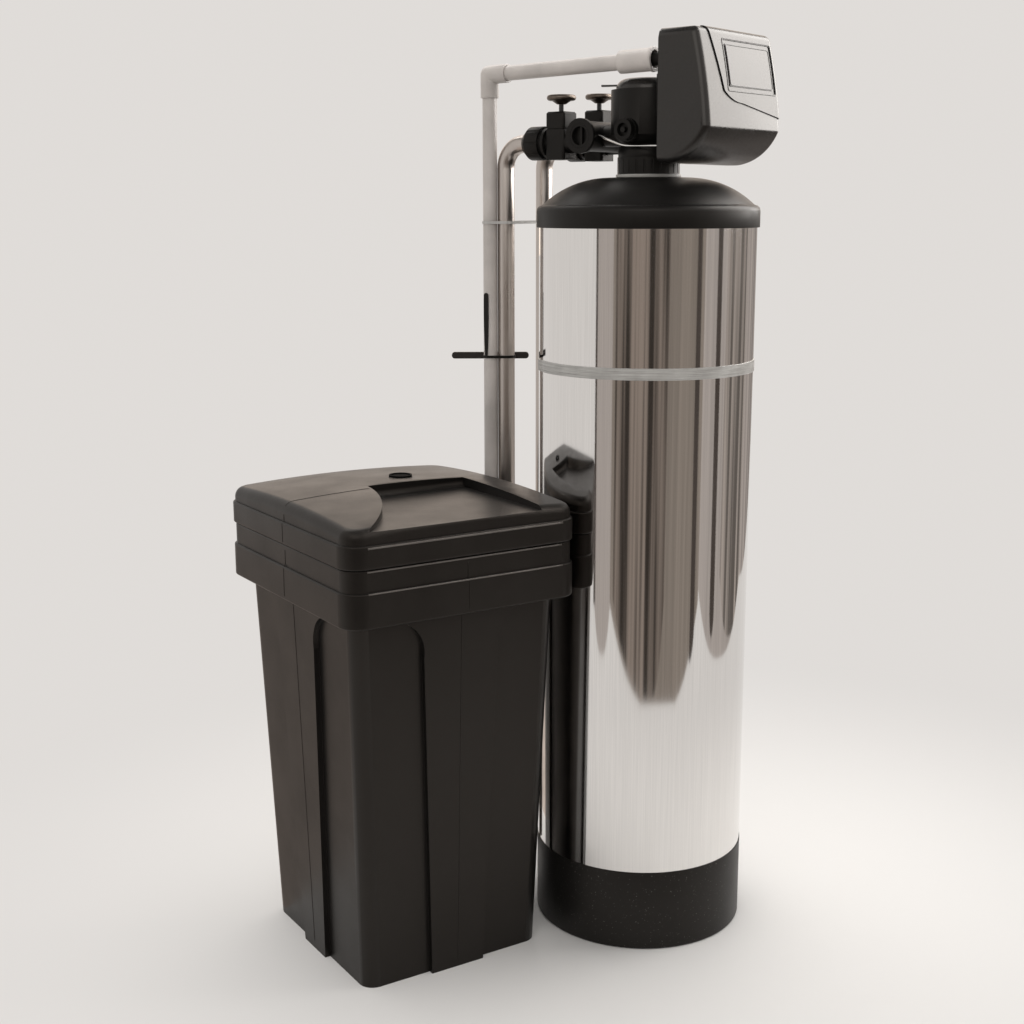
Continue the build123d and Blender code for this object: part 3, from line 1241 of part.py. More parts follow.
def lid_crown(inset):
    """The lid's outer form drawn in by an inset: a rounded slab under a shallow crown."""
    ball = Pos(0, 0, LID_CROWN_Z - inset - LID_CROWN_R) * Rot(90, 0, 0) * Sphere(LID_CROWN_R)
    half_x = RIM_HALF_X - LID_STEP - inset
    half_y = RIM_HALF_Y - LID_STEP - inset
    upper = slab(half_x, half_y, RIM_CORNER_R - LID_STEP - inset / 2, LID_STEP_Z - LID_ROUND, LID_CROWN_Z + CUT)
    upper = upper & ball
    top = upper.faces().sort_by(Axis.Z)[-1]
    return fillet(top.edges(), LID_ROUND)


def recess(grow, floor):
    """The hand space in the lid, open at the front, with a slanted left side."""
    front = -RIM_HALF_Y - CUT
    left = RECESS_LEFT - grow
    back = RECESS_BACK + grow
    right = RECESS_RIGHT + grow
    middle = ((left + RECESS_FRONT_LEFT) / 2 + NOSE_BULGE, (back - RIM_HALF_Y) / 2)
    face = outline((left, back), (right, back), (right, front), (RECESS_FRONT_LEFT - grow, front),
                   (middle, (left, back)))
    return Pos(0, 0, floor) * extrude(face, LID_CROWN_Z - floor + LID_ROUND)


def brine_lid():
    band = slab(RIM_HALF_X, RIM_HALF_Y, RIM_CORNER_R, LID_FOOT, LID_STEP_Z)
    band = fillet(band.faces().sort_by(Axis.Z)[-1].edges() + band.faces().sort_by(Axis.Z)[0].edges(), RIM_STEP - SEAT)
    form = band + lid_crown(0) - recess(0, RECESS_FLOOR)
    inner = slab(RIM_HALF_X - BRINE_WALL - LID_STEP, RIM_HALF_Y - BRINE_WALL - LID_STEP,
                 RIM_CORNER_R - BRINE_WALL, LID_FOOT - CUT, LID_STEP_Z)
    room = inner + lid_crown(BRINE_WALL) - recess(BRINE_WALL, RECESS_FLOOR - BRINE_WALL)
    lid = form - room
    front = lid.edges().filter_by(Axis.X).filter_by_position(Axis.Z, RECESS_FLOOR - SEAT, RECESS_FLOOR + SEAT)
    lid = fillet(front.sort_by(Axis.Y)[0:1], FRONT_ROLL)
    hole = Pos(PLUG_X, PLUG_Y, 0) * rod(LID_PLUG_R - LID_PLUG_RIM, RECESS_FLOOR, LID_CROWN_Z + CUT)
    seat = Pos(PLUG_X, PLUG_Y, 0) * rod(LID_PLUG_R + SEAT, LID_CROWN_Z - BRINE_WALL / 2, LID_CROWN_Z + CUT)
    return at_brine(lid - hole - seat)


def lid_plug():
    top = LID_CROWN_Z + LID_PLUG_RIM
    foot = LID_CROWN_Z - BRINE_WALL / 2
    plug = rod(LID_PLUG_R, foot, top) + rod(LID_PLUG_R - LID_PLUG_RIM - SEAT, foot - LID_PLUG_T, foot)
    plug -= rod(LID_PLUG_R - 2 * LID_PLUG_RIM, top - LID_PLUG_RIM, top + CUT)
    return at_brine(Pos(PLUG_X, PLUG_Y, 0) * plug)


def in_well(solid):
    return at_brine(Pos(WELL_X, WELL_Y, 0) * solid)


def brine_well():
    well = tube(WELL_R, WELL_R - WELL_WALL, BRINE_WALL, WELL_TOP)
    return in_well(well - slots(WELL_R, WELL_SLOT_W, WELL_SLOT_Z, WELL_SLOT_Z + WELL_SLOT_H, WELL_SLOTS))


def brine_well_cap():
    skirt = WELL_R + SEAT
    cap = turned((0, WELL_TOP), (skirt, WELL_TOP), (skirt, WELL_TOP - CAP_SKIRT),
                 (skirt + CAP_T, WELL_TOP - CAP_SKIRT), (skirt + CAP_T, WELL_TOP + CAP_T),
                 (CAP_GRIP_R, WELL_TOP + CAP_T), (CAP_GRIP_R - CAP_T, WELL_TOP + CAP_T + CAP_GRIP_H),
                 (0, WELL_TOP + CAP_T + CAP_GRIP_H))
    return in_well(cap)


def brine_valve():
    """Air check at the well's foot, its riser rod and the head that the brine line would leave."""
    foot = BRINE_WALL
    low = foot + AIR_CHECK_H
    body = turned((0, foot), (AIR_CHECK_R, foot), (AIR_CHECK_R, low - AIR_CHECK_R), (BRINE_ROD_R, low),
                  (BRINE_ROD_R, BRINE_ROD_TOP - BRINE_HEAD_H), (BRINE_HEAD_R, BRINE_ROD_TOP - BRINE_HEAD_H),
                  (BRINE_HEAD_R, BRINE_ROD_TOP), (0, BRINE_ROD_TOP))
    slot = slots(AIR_CHECK_R, WELL_SLOT_W, foot + CAP_T, foot + AIR_CHECK_H / 3, WELL_SLOTS)
    core = rod(AIR_CHECK_R / 2, foot, low)
    return in_well((body - slot) + core)


def brine_float():
    bore = BRINE_ROD_R + SEAT
    edge = CAP_T
    body = turned((bore, FLOAT_Z), (FLOAT_R - edge, FLOAT_Z), (FLOAT_R, FLOAT_Z + edge),
                  (FLOAT_R, FLOAT_Z + FLOAT_H - edge), (FLOAT_R - edge, FLOAT_Z + FLOAT_H),
                  (bore, FLOAT_Z + FLOAT_H))
    return in_well(body)


def salt_grid():
    """Perforated plate on four legs that keeps the salt off the tank's floor."""
    grid = slab(GRID_HALF_X, GRID_HALF_Y, CORNER_R - BRINE_WALL, GRID_Z, GRID_Z + GRID_T)
    grid -= Pos(WELL_X, WELL_Y, 0) * rod(WELL_R + LID_LIP_GAP, GRID_Z - CUT, GRID_Z + GRID_T + CUT)
    clear = WELL_R + GRID_HOLE_R + 2 * LID_LIP_GAP
    steps_x = int((GRID_HALF_X - GRID_HOLE_R) // GRID_PITCH)
    steps_y = int((GRID_HALF_Y - GRID_HOLE_R) // GRID_PITCH)
    for i in range(-steps_x, steps_x + 1):
        for j in range(-steps_y, steps_y + 1):
            x = i * GRID_PITCH
            y = j * GRID_PITCH
            if (x - WELL_X) ** 2 + (y - WELL_Y) ** 2 < clear ** 2:
                continue
            grid -= Pos(x, y, 0) * rod(GRID_HOLE_R, GRID_Z - CUT, GRID_Z + GRID_T + CUT)
    half = GRID_PITCH / 2
    for i, j in ((5, 5), (5, -5), (-5, -5), (-1, 7)):
        grid += Pos(i * half, j * half, 0) * rod(GRID_LEG_R, BRINE_WALL, GRID_Z)
    return at_brine(grid)


def overflow_elbow():
    """Overflow fitting in the back panel, with its spout turned down."""
    slope = (WAIST_HALF_Y - FLOOR_HALF_Y) / WAIST_Z
    wall = FLOOR_HALF_Y + slope * OVERFLOW_Z + PANEL_RAISE
    lean = slope * OVERFLOW_NUT_R + SEAT
    inside = wall - BRINE_WALL - lean
    corner = wall + OVERFLOW_REACH - OVERFLOW_R
    arm = rod(OVERFLOW_R, inside - OVERFLOW_NUT_T, corner)
    arm += Pos(0, 0, wall + lean) * extrude(RegularPolygon(OVERFLOW_NUT_R, 6), OVERFLOW_NUT_T)
    arm += rod(OVERFLOW_NUT_R, inside - OVERFLOW_NUT_T, inside)
    elbow = Rot(-90, 0, 0) * arm + Pos(0, corner, 0) * Sphere(OVERFLOW_R)
    elbow += Pos(0, corner, 0) * rod(OVERFLOW_R, -OVERFLOW_DROP, 0)
    elbow -= Rot(-90, 0, 0) * rod(OVERFLOW_BORE_R, inside - OVERFLOW_NUT_T - CUT, corner)
    elbow -= Pos(0, corner, 0) * rod(OVERFLOW_BORE_R, -OVERFLOW_DROP - CUT, 0)
    elbow -= Pos(0, corner, 0) * Sphere(OVERFLOW_BORE_R)
    return at_brine(Pos(0, 0, OVERFLOW_Z) * elbow)


FREE_PIECES = {
    "mineral_tank": mineral_tank, "tank_boot": tank_boot, "tank_jacket": tank_jacket,
    "dome_cap": dome_cap, "tank_strap": tank_strap, "riser_tube": riser_tube,
    "bottom_basket": bottom_basket, "top_basket": top_basket, "gravel_bed": gravel_bed,
    "resin_bed": resin_bed, "neck_ring": neck_ring, "tank_adapter": tank_adapter,
    "brine_tank": brine_tank, "brine_lid": brine_lid, "lid_plug": lid_plug,
    "brine_well": brine_well, "brine_well_cap": brine_well_cap, "brine_valve": brine_valve,
    "brine_float": brine_float, "salt_grid": salt_grid, "overflow_elbow": overflow_elbow,
}

HEAD_PIECES = {
    "valve_body": valve_body, "valve_cap": valve_cap, "piston": piston, "seal_rings": seal_rings,
    "seal_spacers": seal_spacers, "bore_plug": bore_plug, "injector_cap": injector_cap,
    "injector_throat": injector_throat, "brine_elbow": brine_elbow, "meter_turbine": meter_turbine,
    "drive_gear": drive_gear, "idler_gear": idler_gear, "motor_pinion": motor_pinion,
    "drive_motor": drive_motor, "drive_bracket": drive_bracket, "circuit_board": circuit_board,
    "head_cover": head_cover, "cover_panel": cover_panel, "back_plate": back_plate,
    "plate_screws": plate_screws, "bypass_body": bypass_body, "bypass_end_plugs": bypass_end_plugs,
    "bypass_bonnets": bypass_bonnets, "near_valve_disc": lambda: valve_disc(-1),
    "far_valve_disc": lambda: valve_disc(1), "near_handwheel": lambda: handwheel(-1),
    "far_handwheel": lambda: handwheel(1), "union_nuts": union_nuts, "bypass_clips": bypass_clips,
    "inlet_pipe": lambda: line_pipe(-1), "outlet_pipe": lambda: line_pipe(1),
    "drain_coupling": drain_coupling, "drain_pipe_upper": drain_pipe_upper,
    "drain_elbow": drain_elbow, "drain_pipe_lower": drain_pipe_lower, "drain_fitting": drain_fitting,
    "upper_pipe_tie": upper_pipe_tie, "lower_pipe_tie": lower_pipe_tie, "pipe_brace": pipe_brace,
}

os.makedirs("parts", exist_ok=True)
for name, make in FREE_PIECES.items():
    save(make(), name)
for name, make in HEAD_PIECES.items():
    save(on_head(make()), name)
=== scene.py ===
import json
from math import cos, radians, sin
import bmesh
import bpy
from mathutils import Matrix, Vector
from mathutils.bvhtree import BVHTree


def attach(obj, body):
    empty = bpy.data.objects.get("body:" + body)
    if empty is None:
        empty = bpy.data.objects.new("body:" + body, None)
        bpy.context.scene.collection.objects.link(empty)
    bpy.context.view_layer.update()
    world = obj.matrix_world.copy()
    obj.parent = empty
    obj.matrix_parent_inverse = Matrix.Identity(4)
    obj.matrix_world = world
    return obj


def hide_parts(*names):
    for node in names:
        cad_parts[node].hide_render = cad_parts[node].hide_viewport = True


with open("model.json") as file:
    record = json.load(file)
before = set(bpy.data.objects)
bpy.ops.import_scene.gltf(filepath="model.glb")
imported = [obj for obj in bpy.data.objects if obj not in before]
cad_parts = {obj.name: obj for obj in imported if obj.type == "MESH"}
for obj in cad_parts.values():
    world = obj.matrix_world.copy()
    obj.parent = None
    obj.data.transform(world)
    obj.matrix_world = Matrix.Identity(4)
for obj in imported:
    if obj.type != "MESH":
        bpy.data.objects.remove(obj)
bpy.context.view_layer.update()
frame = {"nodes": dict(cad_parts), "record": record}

# Camera, fitted to the photograph
EYE = Vector((-1.324, -1.722, 1.0693))
HEADING = (0.536, 0.844)
PITCH = radians(11.63)
ROLL = -0.002
LENS = 52.28

# Places that the added pieces share with the solids, in metres
HEAD_YAW = radians(18.6)
BRINE = Vector((-0.339, 0.1346, 0.0))
PANEL_PROUD = 0.0018                        # the front panel over the cover
WINDOW = (-0.040, 0.084, 1.219, 1.284)      # left, right, foot and top of the window in the panel
WINDOW_ROUND = 0.003
NEAR_HUB, FAR_HUB = 1.2112, 1.2172          # where the handwheels' stems end
RIM_TOP = 0.605                             # the brine tank's parting lines end here
TANK_FOOT = 0.012
LID_FOOT, LID_STEP = 0.616, 0.655           # the parting lines on the lid's sides
CREST_LEFT, CREST_RIGHT = -0.178, -0.022    # and on its crown, from the tank's middle
LEDGES = (0.5808, 0.6096)                   # the rim's rolled ledges
LID_LEDGE = 0.6412
LEDGE_HALF = 0.1505

# Where the rays that look for a skin start: beside the brine tank, over it, and before the cover
ASIDE = 0.4
ABOVE = 0.9
BEFORE = -0.2

BACK = (0.745, 0.717, 0.692)                # the backdrop


def camera():
    data = bpy.data.cameras.new("camera")
    data.lens = LENS
    data.sensor_width = 36
    data.clip_start = 0.05
    data.clip_end = 60
    item = bpy.data.objects.new("camera", data)
    bpy.context.scene.collection.objects.link(item)
    ahead = Vector((HEADING[0] * cos(PITCH), HEADING[1] * cos(PITCH), -sin(PITCH))).normalized()
    right = Vector((HEADING[1], -HEADING[0], 0)).normalized()
    up = right.cross(ahead)
    turn = Matrix((right, up, -ahead)).transposed().to_4x4()
    item.matrix_world = Matrix.Translation(EYE) @ turn @ Matrix.Rotation(ROLL, 4, "Z")
    bpy.context.scene.camera = item


# Materials

class Nodes:
    """A material under construction, with a principled shader and its output in place."""

    def __init__(self, name):
        self.material = bpy.data.materials.new(name)
        self.material.use_nodes = True
        self.tree = self.material.node_tree
        self.tree.nodes.clear()
        self.out = self.add("ShaderNodeOutputMaterial")
        self.shader = self.add("ShaderNodeBsdfPrincipled")
        self.link(self.shader.outputs[0], self.out.inputs["Surface"])
        self.place = self.add("ShaderNodeTexCoord").outputs["Object"]

    def add(self, kind, **settings):
        node = self.tree.nodes.new(kind)
        for key, value in settings.items():
            setattr(node, key, value)
        return node

    def link(self, a, b):
        self.tree.links.new(a, b)

    def stretched(self, scale):
        """The object's coordinates, stretched so that a pattern runs along one axis."""
        mapping = self.add("ShaderNodeMapping")
        mapping.inputs["Scale"].default_value = scale
        self.link(self.place, mapping.inputs["Vector"])
        return mapping.outputs[0]

    def noise(self, scale, detail=3.0, rough=0.55, source=None):
        node = self.add("ShaderNodeTexNoise")
        node.inputs["Scale"].default_value = scale
        node.inputs["Detail"].default_value = detail
        node.inputs["Roughness"].default_value = rough
        self.link(source or self.place, node.inputs["Vector"])
        return node.outputs["Fac"]

    def ramp(self, source, *stops):
        node = self.add("ShaderNodeValToRGB")
        node.color_ramp.elements[0].position = stops[0][0]
        node.color_ramp.elements[0].color = (*stops[0][1], 1)
        node.color_ramp.elements[1].position = stops[-1][0]
        node.color_ramp.elements[1].color = (*stops[-1][1], 1)
        for place, colour in stops[1:-1]:
            node.color_ramp.elements.new(place).color = (*colour, 1)
        self.link(source, node.inputs[0])
        return node.outputs["Color"]

    def spread(self, source, low, high, low_in=0.3, high_in=0.7):
        node = self.add("ShaderNodeMapRange")
        node.inputs["From Min"].default_value = low_in
        node.inputs["From Max"].default_value = high_in
        node.inputs["To Min"].default_value = low
        node.inputs["To Max"].default_value = high
        self.link(source, node.inputs["Value"])
        return node.outputs[0]

    def mix(self, share, a, b):
        node = self.add("ShaderNodeMix", data_type="RGBA")
        self.link(share, node.inputs["Factor"])
        self.link(a, node.inputs["A"])
        self.link(b, node.inputs["B"])
        return node.outputs["Result"]

    def maths(self, kind, a, b):
        node = self.add("ShaderNodeMath", operation=kind)
        for socket, value in zip(node.inputs, (a, b)):
            if isinstance(value, (int, float)):
                socket.default_value = value
            else:
                self.link(value, socket)
        return node.outputs[0]

    def bump(self, source, strength, distance):
        node = self.add("ShaderNodeBump")
        node.inputs["Strength"].default_value = strength
        node.inputs["Distance"].default_value = distance
        self.link(source, node.inputs["Height"])
        self.link(node.outputs[0], self.shader.inputs["Normal"])

    def set(self, **sockets):
        for key, value in sockets.items():
            socket = self.shader.inputs[key.replace("_", " ")]
            if hasattr(value, "node"):
                self.link(value, socket)
            else:
                socket.default_value = value


def shade(colour, factor):
    return tuple(min(1.0, c * factor) for c in colour)


def plastic(name, colour, rough, grain=1500.0, depth=0.00008, dust=0.0, level=0.5, blotch=12.0,
            tint=(1.0, 1.0, 1.0)):
    """Moulded plastic: a fine grain, a slow change of colour and gloss, and pale dust specks."""
    n = Nodes(name)
    slow = n.noise(blotch, 4.0)
    fine = n.noise(grain, 2.0)
    base = n.ramp(slow, (0.3, shade(colour, 0.82)), (0.55, colour), (0.75, shade(colour, 1.22)))
    if dust:
        specks = n.noise(grain / 3, 1.0, 0.3)
        share = n.spread(specks, 0.0, dust, 0.72, 0.78)
        pale = n.ramp(slow, (0.0, (0.35, 0.33, 0.30)), (1.0, (0.5, 0.48, 0.45)))
        base = n.mix(share, base, pale)
    gloss = n.maths("ADD", n.spread(slow, -0.05, 0.06), n.spread(fine, rough - 0.04, rough + 0.04))
    n.set(Base_Color=base, Roughness=gloss, IOR=1.47, Specular_IOR_Level=level, Specular_Tint=(*tint, 1))
    n.bump(fine, 0.35, depth)
    return n.material


def polished(name, colour, rough, brush=(900.0, 900.0, 6.0), depth=0.000004, smear=0.05):
    """Bright metal with faint drawn lines and smears that change its gloss."""
    n = Nodes(name)
    lines = n.noise(1.0, 3.0, 0.6, n.stretched(brush))
    slow = n.noise(5.0, 4.0)
    base = n.ramp(lines, (0.3, shade(colour, 0.93)), (0.7, shade(colour, 1.03)))
    gloss = n.maths("ADD", n.spread(slow, 0.0, smear), n.spread(lines, rough, rough + 0.02))
    n.set(Base_Color=base, Metallic=1.0, Roughness=gloss)
    n.bump(lines, 0.2, depth)
    return n.material


def bronze_wheel(name, hub):
    """A satin bronze handwheel on a black stem, which starts under the hub's height."""
    n = Nodes(name)
    height = n.add("ShaderNodeSeparateXYZ")
    n.link(n.place, height.inputs[0])
    wheel = n.maths("GREATER_THAN", height.outputs["Z"], hub)
    slow = n.noise(160.0, 3.0)
    bronze = n.ramp(slow, (0.3, (0.115, 0.092, 0.075)), (0.7, (0.17, 0.143, 0.12)))
    stem = n.ramp(slow, (0.3, (0.006, 0.006, 0.006)), (0.7, (0.012, 0.011, 0.010)))
    n.set(Base_Color=n.mix(wheel, stem, bronze), Metallic=wheel, Roughness=n.spread(slow, 0.34, 0.46))
    return n.material


def fibre_film(name):
    """Clear strapping tape: pale, with threads along the strap and a soft gloss."""
    n = Nodes(name)
    threads = n.noise(1.0, 2.0, 0.6, n.stretched((14.0, 14.0, 1400.0)))
    slow = n.noise(30.0, 3.0)
    base = n.ramp(threads, (0.25, (0.22, 0.21, 0.20)), (0.5, (0.42, 0.41, 0.39)),
                  (0.75, (0.68, 0.67, 0.65)))
    share = n.spread(slow, 0.0, 0.6)
    veil = n.ramp(threads, (0.0, (0.16, 0.15, 0.145)), (1.0, (0.34, 0.33, 0.31)))
    n.set(Base_Color=n.mix(share, base, veil), Roughness=n.spread(threads, 0.22, 0.5), IOR=1.5)
    n.bump(threads, 0.5, 0.0003)
    return n.material


def beads(name, dark, light, size):
    """Packed grains for a bed: cells in two tones with a round bump each."""
    n = Nodes(name)
    cells = n.add("ShaderNodeTexVoronoi")
    cells.inputs["Scale"].default_value = size
    n.link(n.place, cells.inputs["Vector"])
    tone = n.ramp(cells.outputs["Color"], (0.2, dark), (0.8, light))
    n.set(Base_Color=tone, Roughness=n.spread(cells.outputs["Distance"], 0.3, 0.6, 0.0, 0.6))
    n.bump(n.maths("MULTIPLY", cells.outputs["Distance"], -1.0), 0.8, 0.0008)
    return n.material


def board_material(name):
    """Coated circuit board with faint tracks."""
    n = Nodes(name)
    tracks = n.add("ShaderNodeTexWave")
    tracks.inputs["Scale"].default_value = 160.0
    tracks.inputs["Distortion"].default_value = 2.0
    n.link(n.place, tracks.inputs["Vector"])
    green = n.ramp(tracks.outputs["Color"], (0.45, (0.02, 0.14, 0.06)), (0.6, (0.06, 0.30, 0.14)))
    n.set(Base_Color=green, Roughness=n.spread(n.noise(60.0), 0.25, 0.4))
    return n.material


WARM = (1.0, 0.93, 0.87)
LOOKS = {
    "black_plastic": plastic("black_plastic", (0.0055, 0.0053, 0.005), 0.42, level=0.22, tint=WARM),
    "satin_black": plastic("satin_black", (0.0075, 0.0072, 0.007), 0.26, grain=2200.0, depth=0.00003,
                           level=0.6, tint=(1.0, 0.95, 0.9)),
    "polished_steel": polished("polished_steel", (0.80, 0.785, 0.77), 0.03),
    "clear_film": fibre_film("clear_film"),
    "fibre_vessel": plastic("fibre_vessel", (0.45, 0.52, 0.50), 0.4, grain=300.0, depth=0.0004),
    "grey_ring": plastic("grey_ring", (0.40, 0.385, 0.36), 0.4),
    "white_plastic": plastic("white_plastic", (0.72, 0.71, 0.68), 0.4),
    "resin_beads": beads("resin_beads", (0.22, 0.09, 0.02), (0.55, 0.28, 0.08), 1400.0),
    "gravel": beads("gravel", (0.25, 0.22, 0.18), (0.6, 0.55, 0.48), 300.0),
    "grey_plastic": plastic("grey_plastic", (0.33, 0.33, 0.33), 0.45),
    "seal_rubber": plastic("seal_rubber", (0.03, 0.03, 0.03), 0.55, grain=900.0),
    "piston_plastic": plastic("piston_plastic", (0.78, 0.74, 0.66), 0.2),
    "gear_plastic": plastic("gear_plastic", (0.8, 0.8, 0.77), 0.35),
    "motor_steel": polished("motor_steel", (0.6, 0.6, 0.6), 0.25),
    "board_green": board_material("board_green"),
    "screw_steel": polished("screw_steel", (0.65, 0.65, 0.65), 0.22),
    "wire_steel": polished("wire_steel", (0.78, 0.77, 0.75), 0.10),
    "pipe_metal": polished("pipe_metal", (0.52, 0.475, 0.44), 0.22, smear=0.12),
    "drain_plastic": plastic("drain_plastic", (0.52, 0.48, 0.453), 0.33, grain=900.0, depth=0.00003),
    "tie_plastic": plastic("tie_plastic", (0.50, 0.485, 0.465), 0.35),
    "brace_steel": plastic("brace_steel", (0.022, 0.018, 0.016), 0.4, level=0.4),
    "brine_black": plastic("brine_black", (0.0076, 0.0072, 0.0068), 0.36, grain=1300.0, depth=0.00009,
                           level=0.33, tint=(1.0, 0.87, 0.77)),
    "wheel_metal": polished("wheel_metal", (0.27, 0.22, 0.18), 0.34),
}

NODE_LOOKS = {
    "tank_boot": plastic("boot_black", (0.007, 0.0066, 0.0062), 0.40, dust=0.22, level=0.32, tint=WARM),
    # The lid plug is black, and it is drawn darker still with almost no reflection: painted shade that
    # stands in for the recess it sits in.
    "lid_plug": plastic("plug_black_painted_shade", (0.004, 0.004, 0.004), 0.6, level=0.02),
    "near_handwheel": bronze_wheel("near_wheel_look", NEAR_HUB),
    "far_handwheel": bronze_wheel("far_wheel_look", FAR_HUB),
    "dome_cap": plastic("cap_black", (0.0068, 0.0064, 0.006), 0.42, level=0.26, tint=WARM),
}


def dress():
    """Give each solid the look of the material slot that the record names for it."""
    for part in frame["record"]["subparts"]:
        item = frame["nodes"][part["node"]]
        look = LOOKS[part["material_slot"]]
        item.data.materials.clear()
        item.data.materials.append(NODE_LOOKS.get(part["node"], look))


# Added pieces

def piece(name, mesh, body, slot, look=None):
    item = bpy.data.objects.new(name, mesh)
    bpy.context.scene.collection.objects.link(item)
    mesh.materials.append(look or LOOKS[slot])
    for face in mesh.polygons:
        face.use_smooth = True
    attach(item, body)
    return item


def surface(mesh):
    """The skin of a mesh, to lay thin pieces on."""
    solid = bmesh.new()
    solid.from_mesh(mesh)
    tree = BVHTree.FromBMesh(solid)
    solid.free()
    return tree


def ridge(name, body, slot, runs, width=0.0014, height=0.0005, look=None):
    """Thin rounded ridges on a moulding. Each run is (skin, starts, direction): a ray goes from each start
    in that direction, and the ridge lies where the rays meet the skin."""
    mesh = bmesh.new()
    profile = ((-0.5, -0.2), (-0.32, 0.6), (0.0, 1.0), (0.32, 0.6), (0.5, -0.2))
    for skin, starts, towards in runs:
        towards = Vector(towards).normalized()
        hits = [skin.ray_cast(Vector(start), towards) for start in starts]
        hits = [(spot, normal if normal.dot(towards) < 0 else -normal)
                for spot, normal, _, _ in hits if spot]
        rows = []
        for k, (spot, normal) in enumerate(hits):
            before = hits[max(k - 1, 0)][0]
            after = hits[min(k + 1, len(hits) - 1)][0]
            along = (after - before).normalized()
            across = along.cross(normal).normalized()
            rows.append([mesh.verts.new(spot + across * (a * width) + normal * (b * height))
                         for a, b in profile])
        for low, high in zip(rows, rows[1:]):
            for a, b, c, d in zip(low, low[1:], high[1:], high):
                mesh.faces.new((a, b, c, d))
            mesh.faces.new((low[-1], low[0], high[0], high[-1]))
        mesh.faces.new(rows[0][::-1])
        mesh.faces.new(rows[-1])
    bmesh.ops.recalc_face_normals(mesh, faces=mesh.faces)
    data = bpy.data.meshes.new(name)
    mesh.to_mesh(data)
    mesh.free()
    return piece(name, data, body, slot, look)


def steps_between(a, b, count):
    a, b = Vector(a), Vector(b)
    return [a.lerp(b, k / count) for k in range(count + 1)]


def window_loop(grow):
    """Points in front of the cover round its window, in the row's frame, the first one twice."""
    left, right, low, high = WINDOW[0] - grow, WINDOW[1] + grow, WINDOW[2] - grow, WINDOW[3] + grow
    flat = []
    for x, z, start in ((right, high, 0), (left, high, 90), (left, low, 180), (right, low, 270)):
        middle_x = x - WINDOW_ROUND if x == right else x + WINDOW_ROUND
        middle_z = z - WINDOW_ROUND if z == high else z + WINDOW_ROUND
        flat += [(middle_x + WINDOW_ROUND * cos(radians(start + a)),
                  middle_z + WINDOW_ROUND * sin(radians(start + a))) for a in range(0, 91, 15)]
    dense = []
    step = 0.006
    for (x, z), (x2, z2) in zip(flat, flat[1:] + flat[:1]):
        count = max(1, int(max(abs(x2 - x), abs(z2 - z)) / step))
        dense += [(x + (x2 - x) * k / count, z + (z2 - z) * k / count) for k in range(count)]
    turn = Matrix.Rotation(HEAD_YAW, 4, "Z")
    return [turn @ Vector((x, BEFORE, z)) for x, z in dense + dense[:1]]


def front_panel():
    """The cover's front panel with an even thickness, and a raised double frame round its window."""
    node = frame["nodes"]["cover_panel"]
    slot = next(part["material_slot"] for part in frame["record"]["subparts"]
                if part["node"] == "cover_panel")
    cover = surface(frame["nodes"]["head_cover"].data)
    data = node.data.copy()
    data.materials.clear()
    for vert in data.vertices:
        spot = cover.find_nearest(vert.co)[0]
        away = vert.co - spot
        if away.length > PANEL_PROUD:
            vert.co = spot + away.normalized() * PANEL_PROUD
    item = piece("front_panel", data, "unit", slot)
    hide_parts("cover_panel")
    skin = surface(data)
    towards = Matrix.Rotation(HEAD_YAW, 3, "Z") @ Vector((0, 1, 0))
    outside, inside = 0.0013, -0.0062
    ridge("window_frame", "unit", slot, [(skin, window_loop(outside), towards)], 0.0018, 0.0007)
    ridge("window_bead", "unit", slot, [(skin, window_loop(inside), towards)], 0.0015, 0.0006)


def rolled_ledges():
    """The rolled edges of the ledges along the front of the brine tank's rim and lid, drawn in a lighter
    colour that is a painted highlight.
    """
    x, y = BRINE.x, BRINE.y
    tank = surface(frame["nodes"]["brine_tank"].data)
    lid = surface(frame["nodes"]["brine_lid"].data)

    def run(height):
        return steps_between((x - LEDGE_HALF, y - ASIDE, height), (x + LEDGE_HALF, y - ASIDE, height), 40)

    # The beads' lighter, glossier colour is a painted highlight: it stands in for light caught on the
    # rolled edges, not for wear.
    highlight_look = plastic("painted_highlight_edge", (0.085, 0.076, 0.069), 0.3, level=0.8, tint=WARM)
    ridge("rim_roll", "unit", "brine_black", [(tank, run(z), (0, 1, 0)) for z in LEDGES],
          0.0026, 0.0009, highlight_look)
    ridge("lid_roll", "lid", "brine_black", [(lid, run(LID_LEDGE), (0, 1, 0))], 0.0030, 0.0009, highlight_look)


def mould_marks():
    """Parting lines of the brine tank and its lid, where the two halves of the mould met."""
    x, y = BRINE.x, BRINE.y
    tank = surface(frame["nodes"]["brine_tank"].data)
    lid = surface(frame["nodes"]["brine_lid"].data)

    def upright(to_x, to_y, top, foot, count):
        side = (x - to_x * ASIDE, y - to_y * ASIDE)
        return steps_between((*side, top), (*side, foot), count), (to_x, to_y, 0)

    ridge("tank_parting", "unit", "brine_black", [
        (tank, *upright(0, 1, RIM_TOP, TANK_FOOT, 90)),
        (tank, *upright(1, 0, RIM_TOP, TANK_FOOT, 90)),
        (tank, *upright(-1, 0, RIM_TOP, TANK_FOOT, 90)),
        (tank, *upright(0, -1, RIM_TOP - 0.005, TANK_FOOT, 90))])
    ridge("lid_parting", "lid", "brine_black", [
        (lid, *upright(1, 0, LID_FOOT, LID_STEP, 16)),
        (lid, steps_between((x + CREST_LEFT, y, ABOVE), (x + CREST_RIGHT, y, ABOVE), 40), (0, 0, -1)),
        (lid, *upright(-1, 0, LID_FOOT, LID_STEP, 16))])


# Studio

def stage_mesh(name, corners, faces, look):
    mesh = bpy.data.meshes.new(name)
    mesh.from_pydata(corners, [], faces)
    mesh.materials.append(look)
    item = bpy.data.objects.new(name, mesh)
    bpy.context.scene.collection.objects.link(item)
    return item


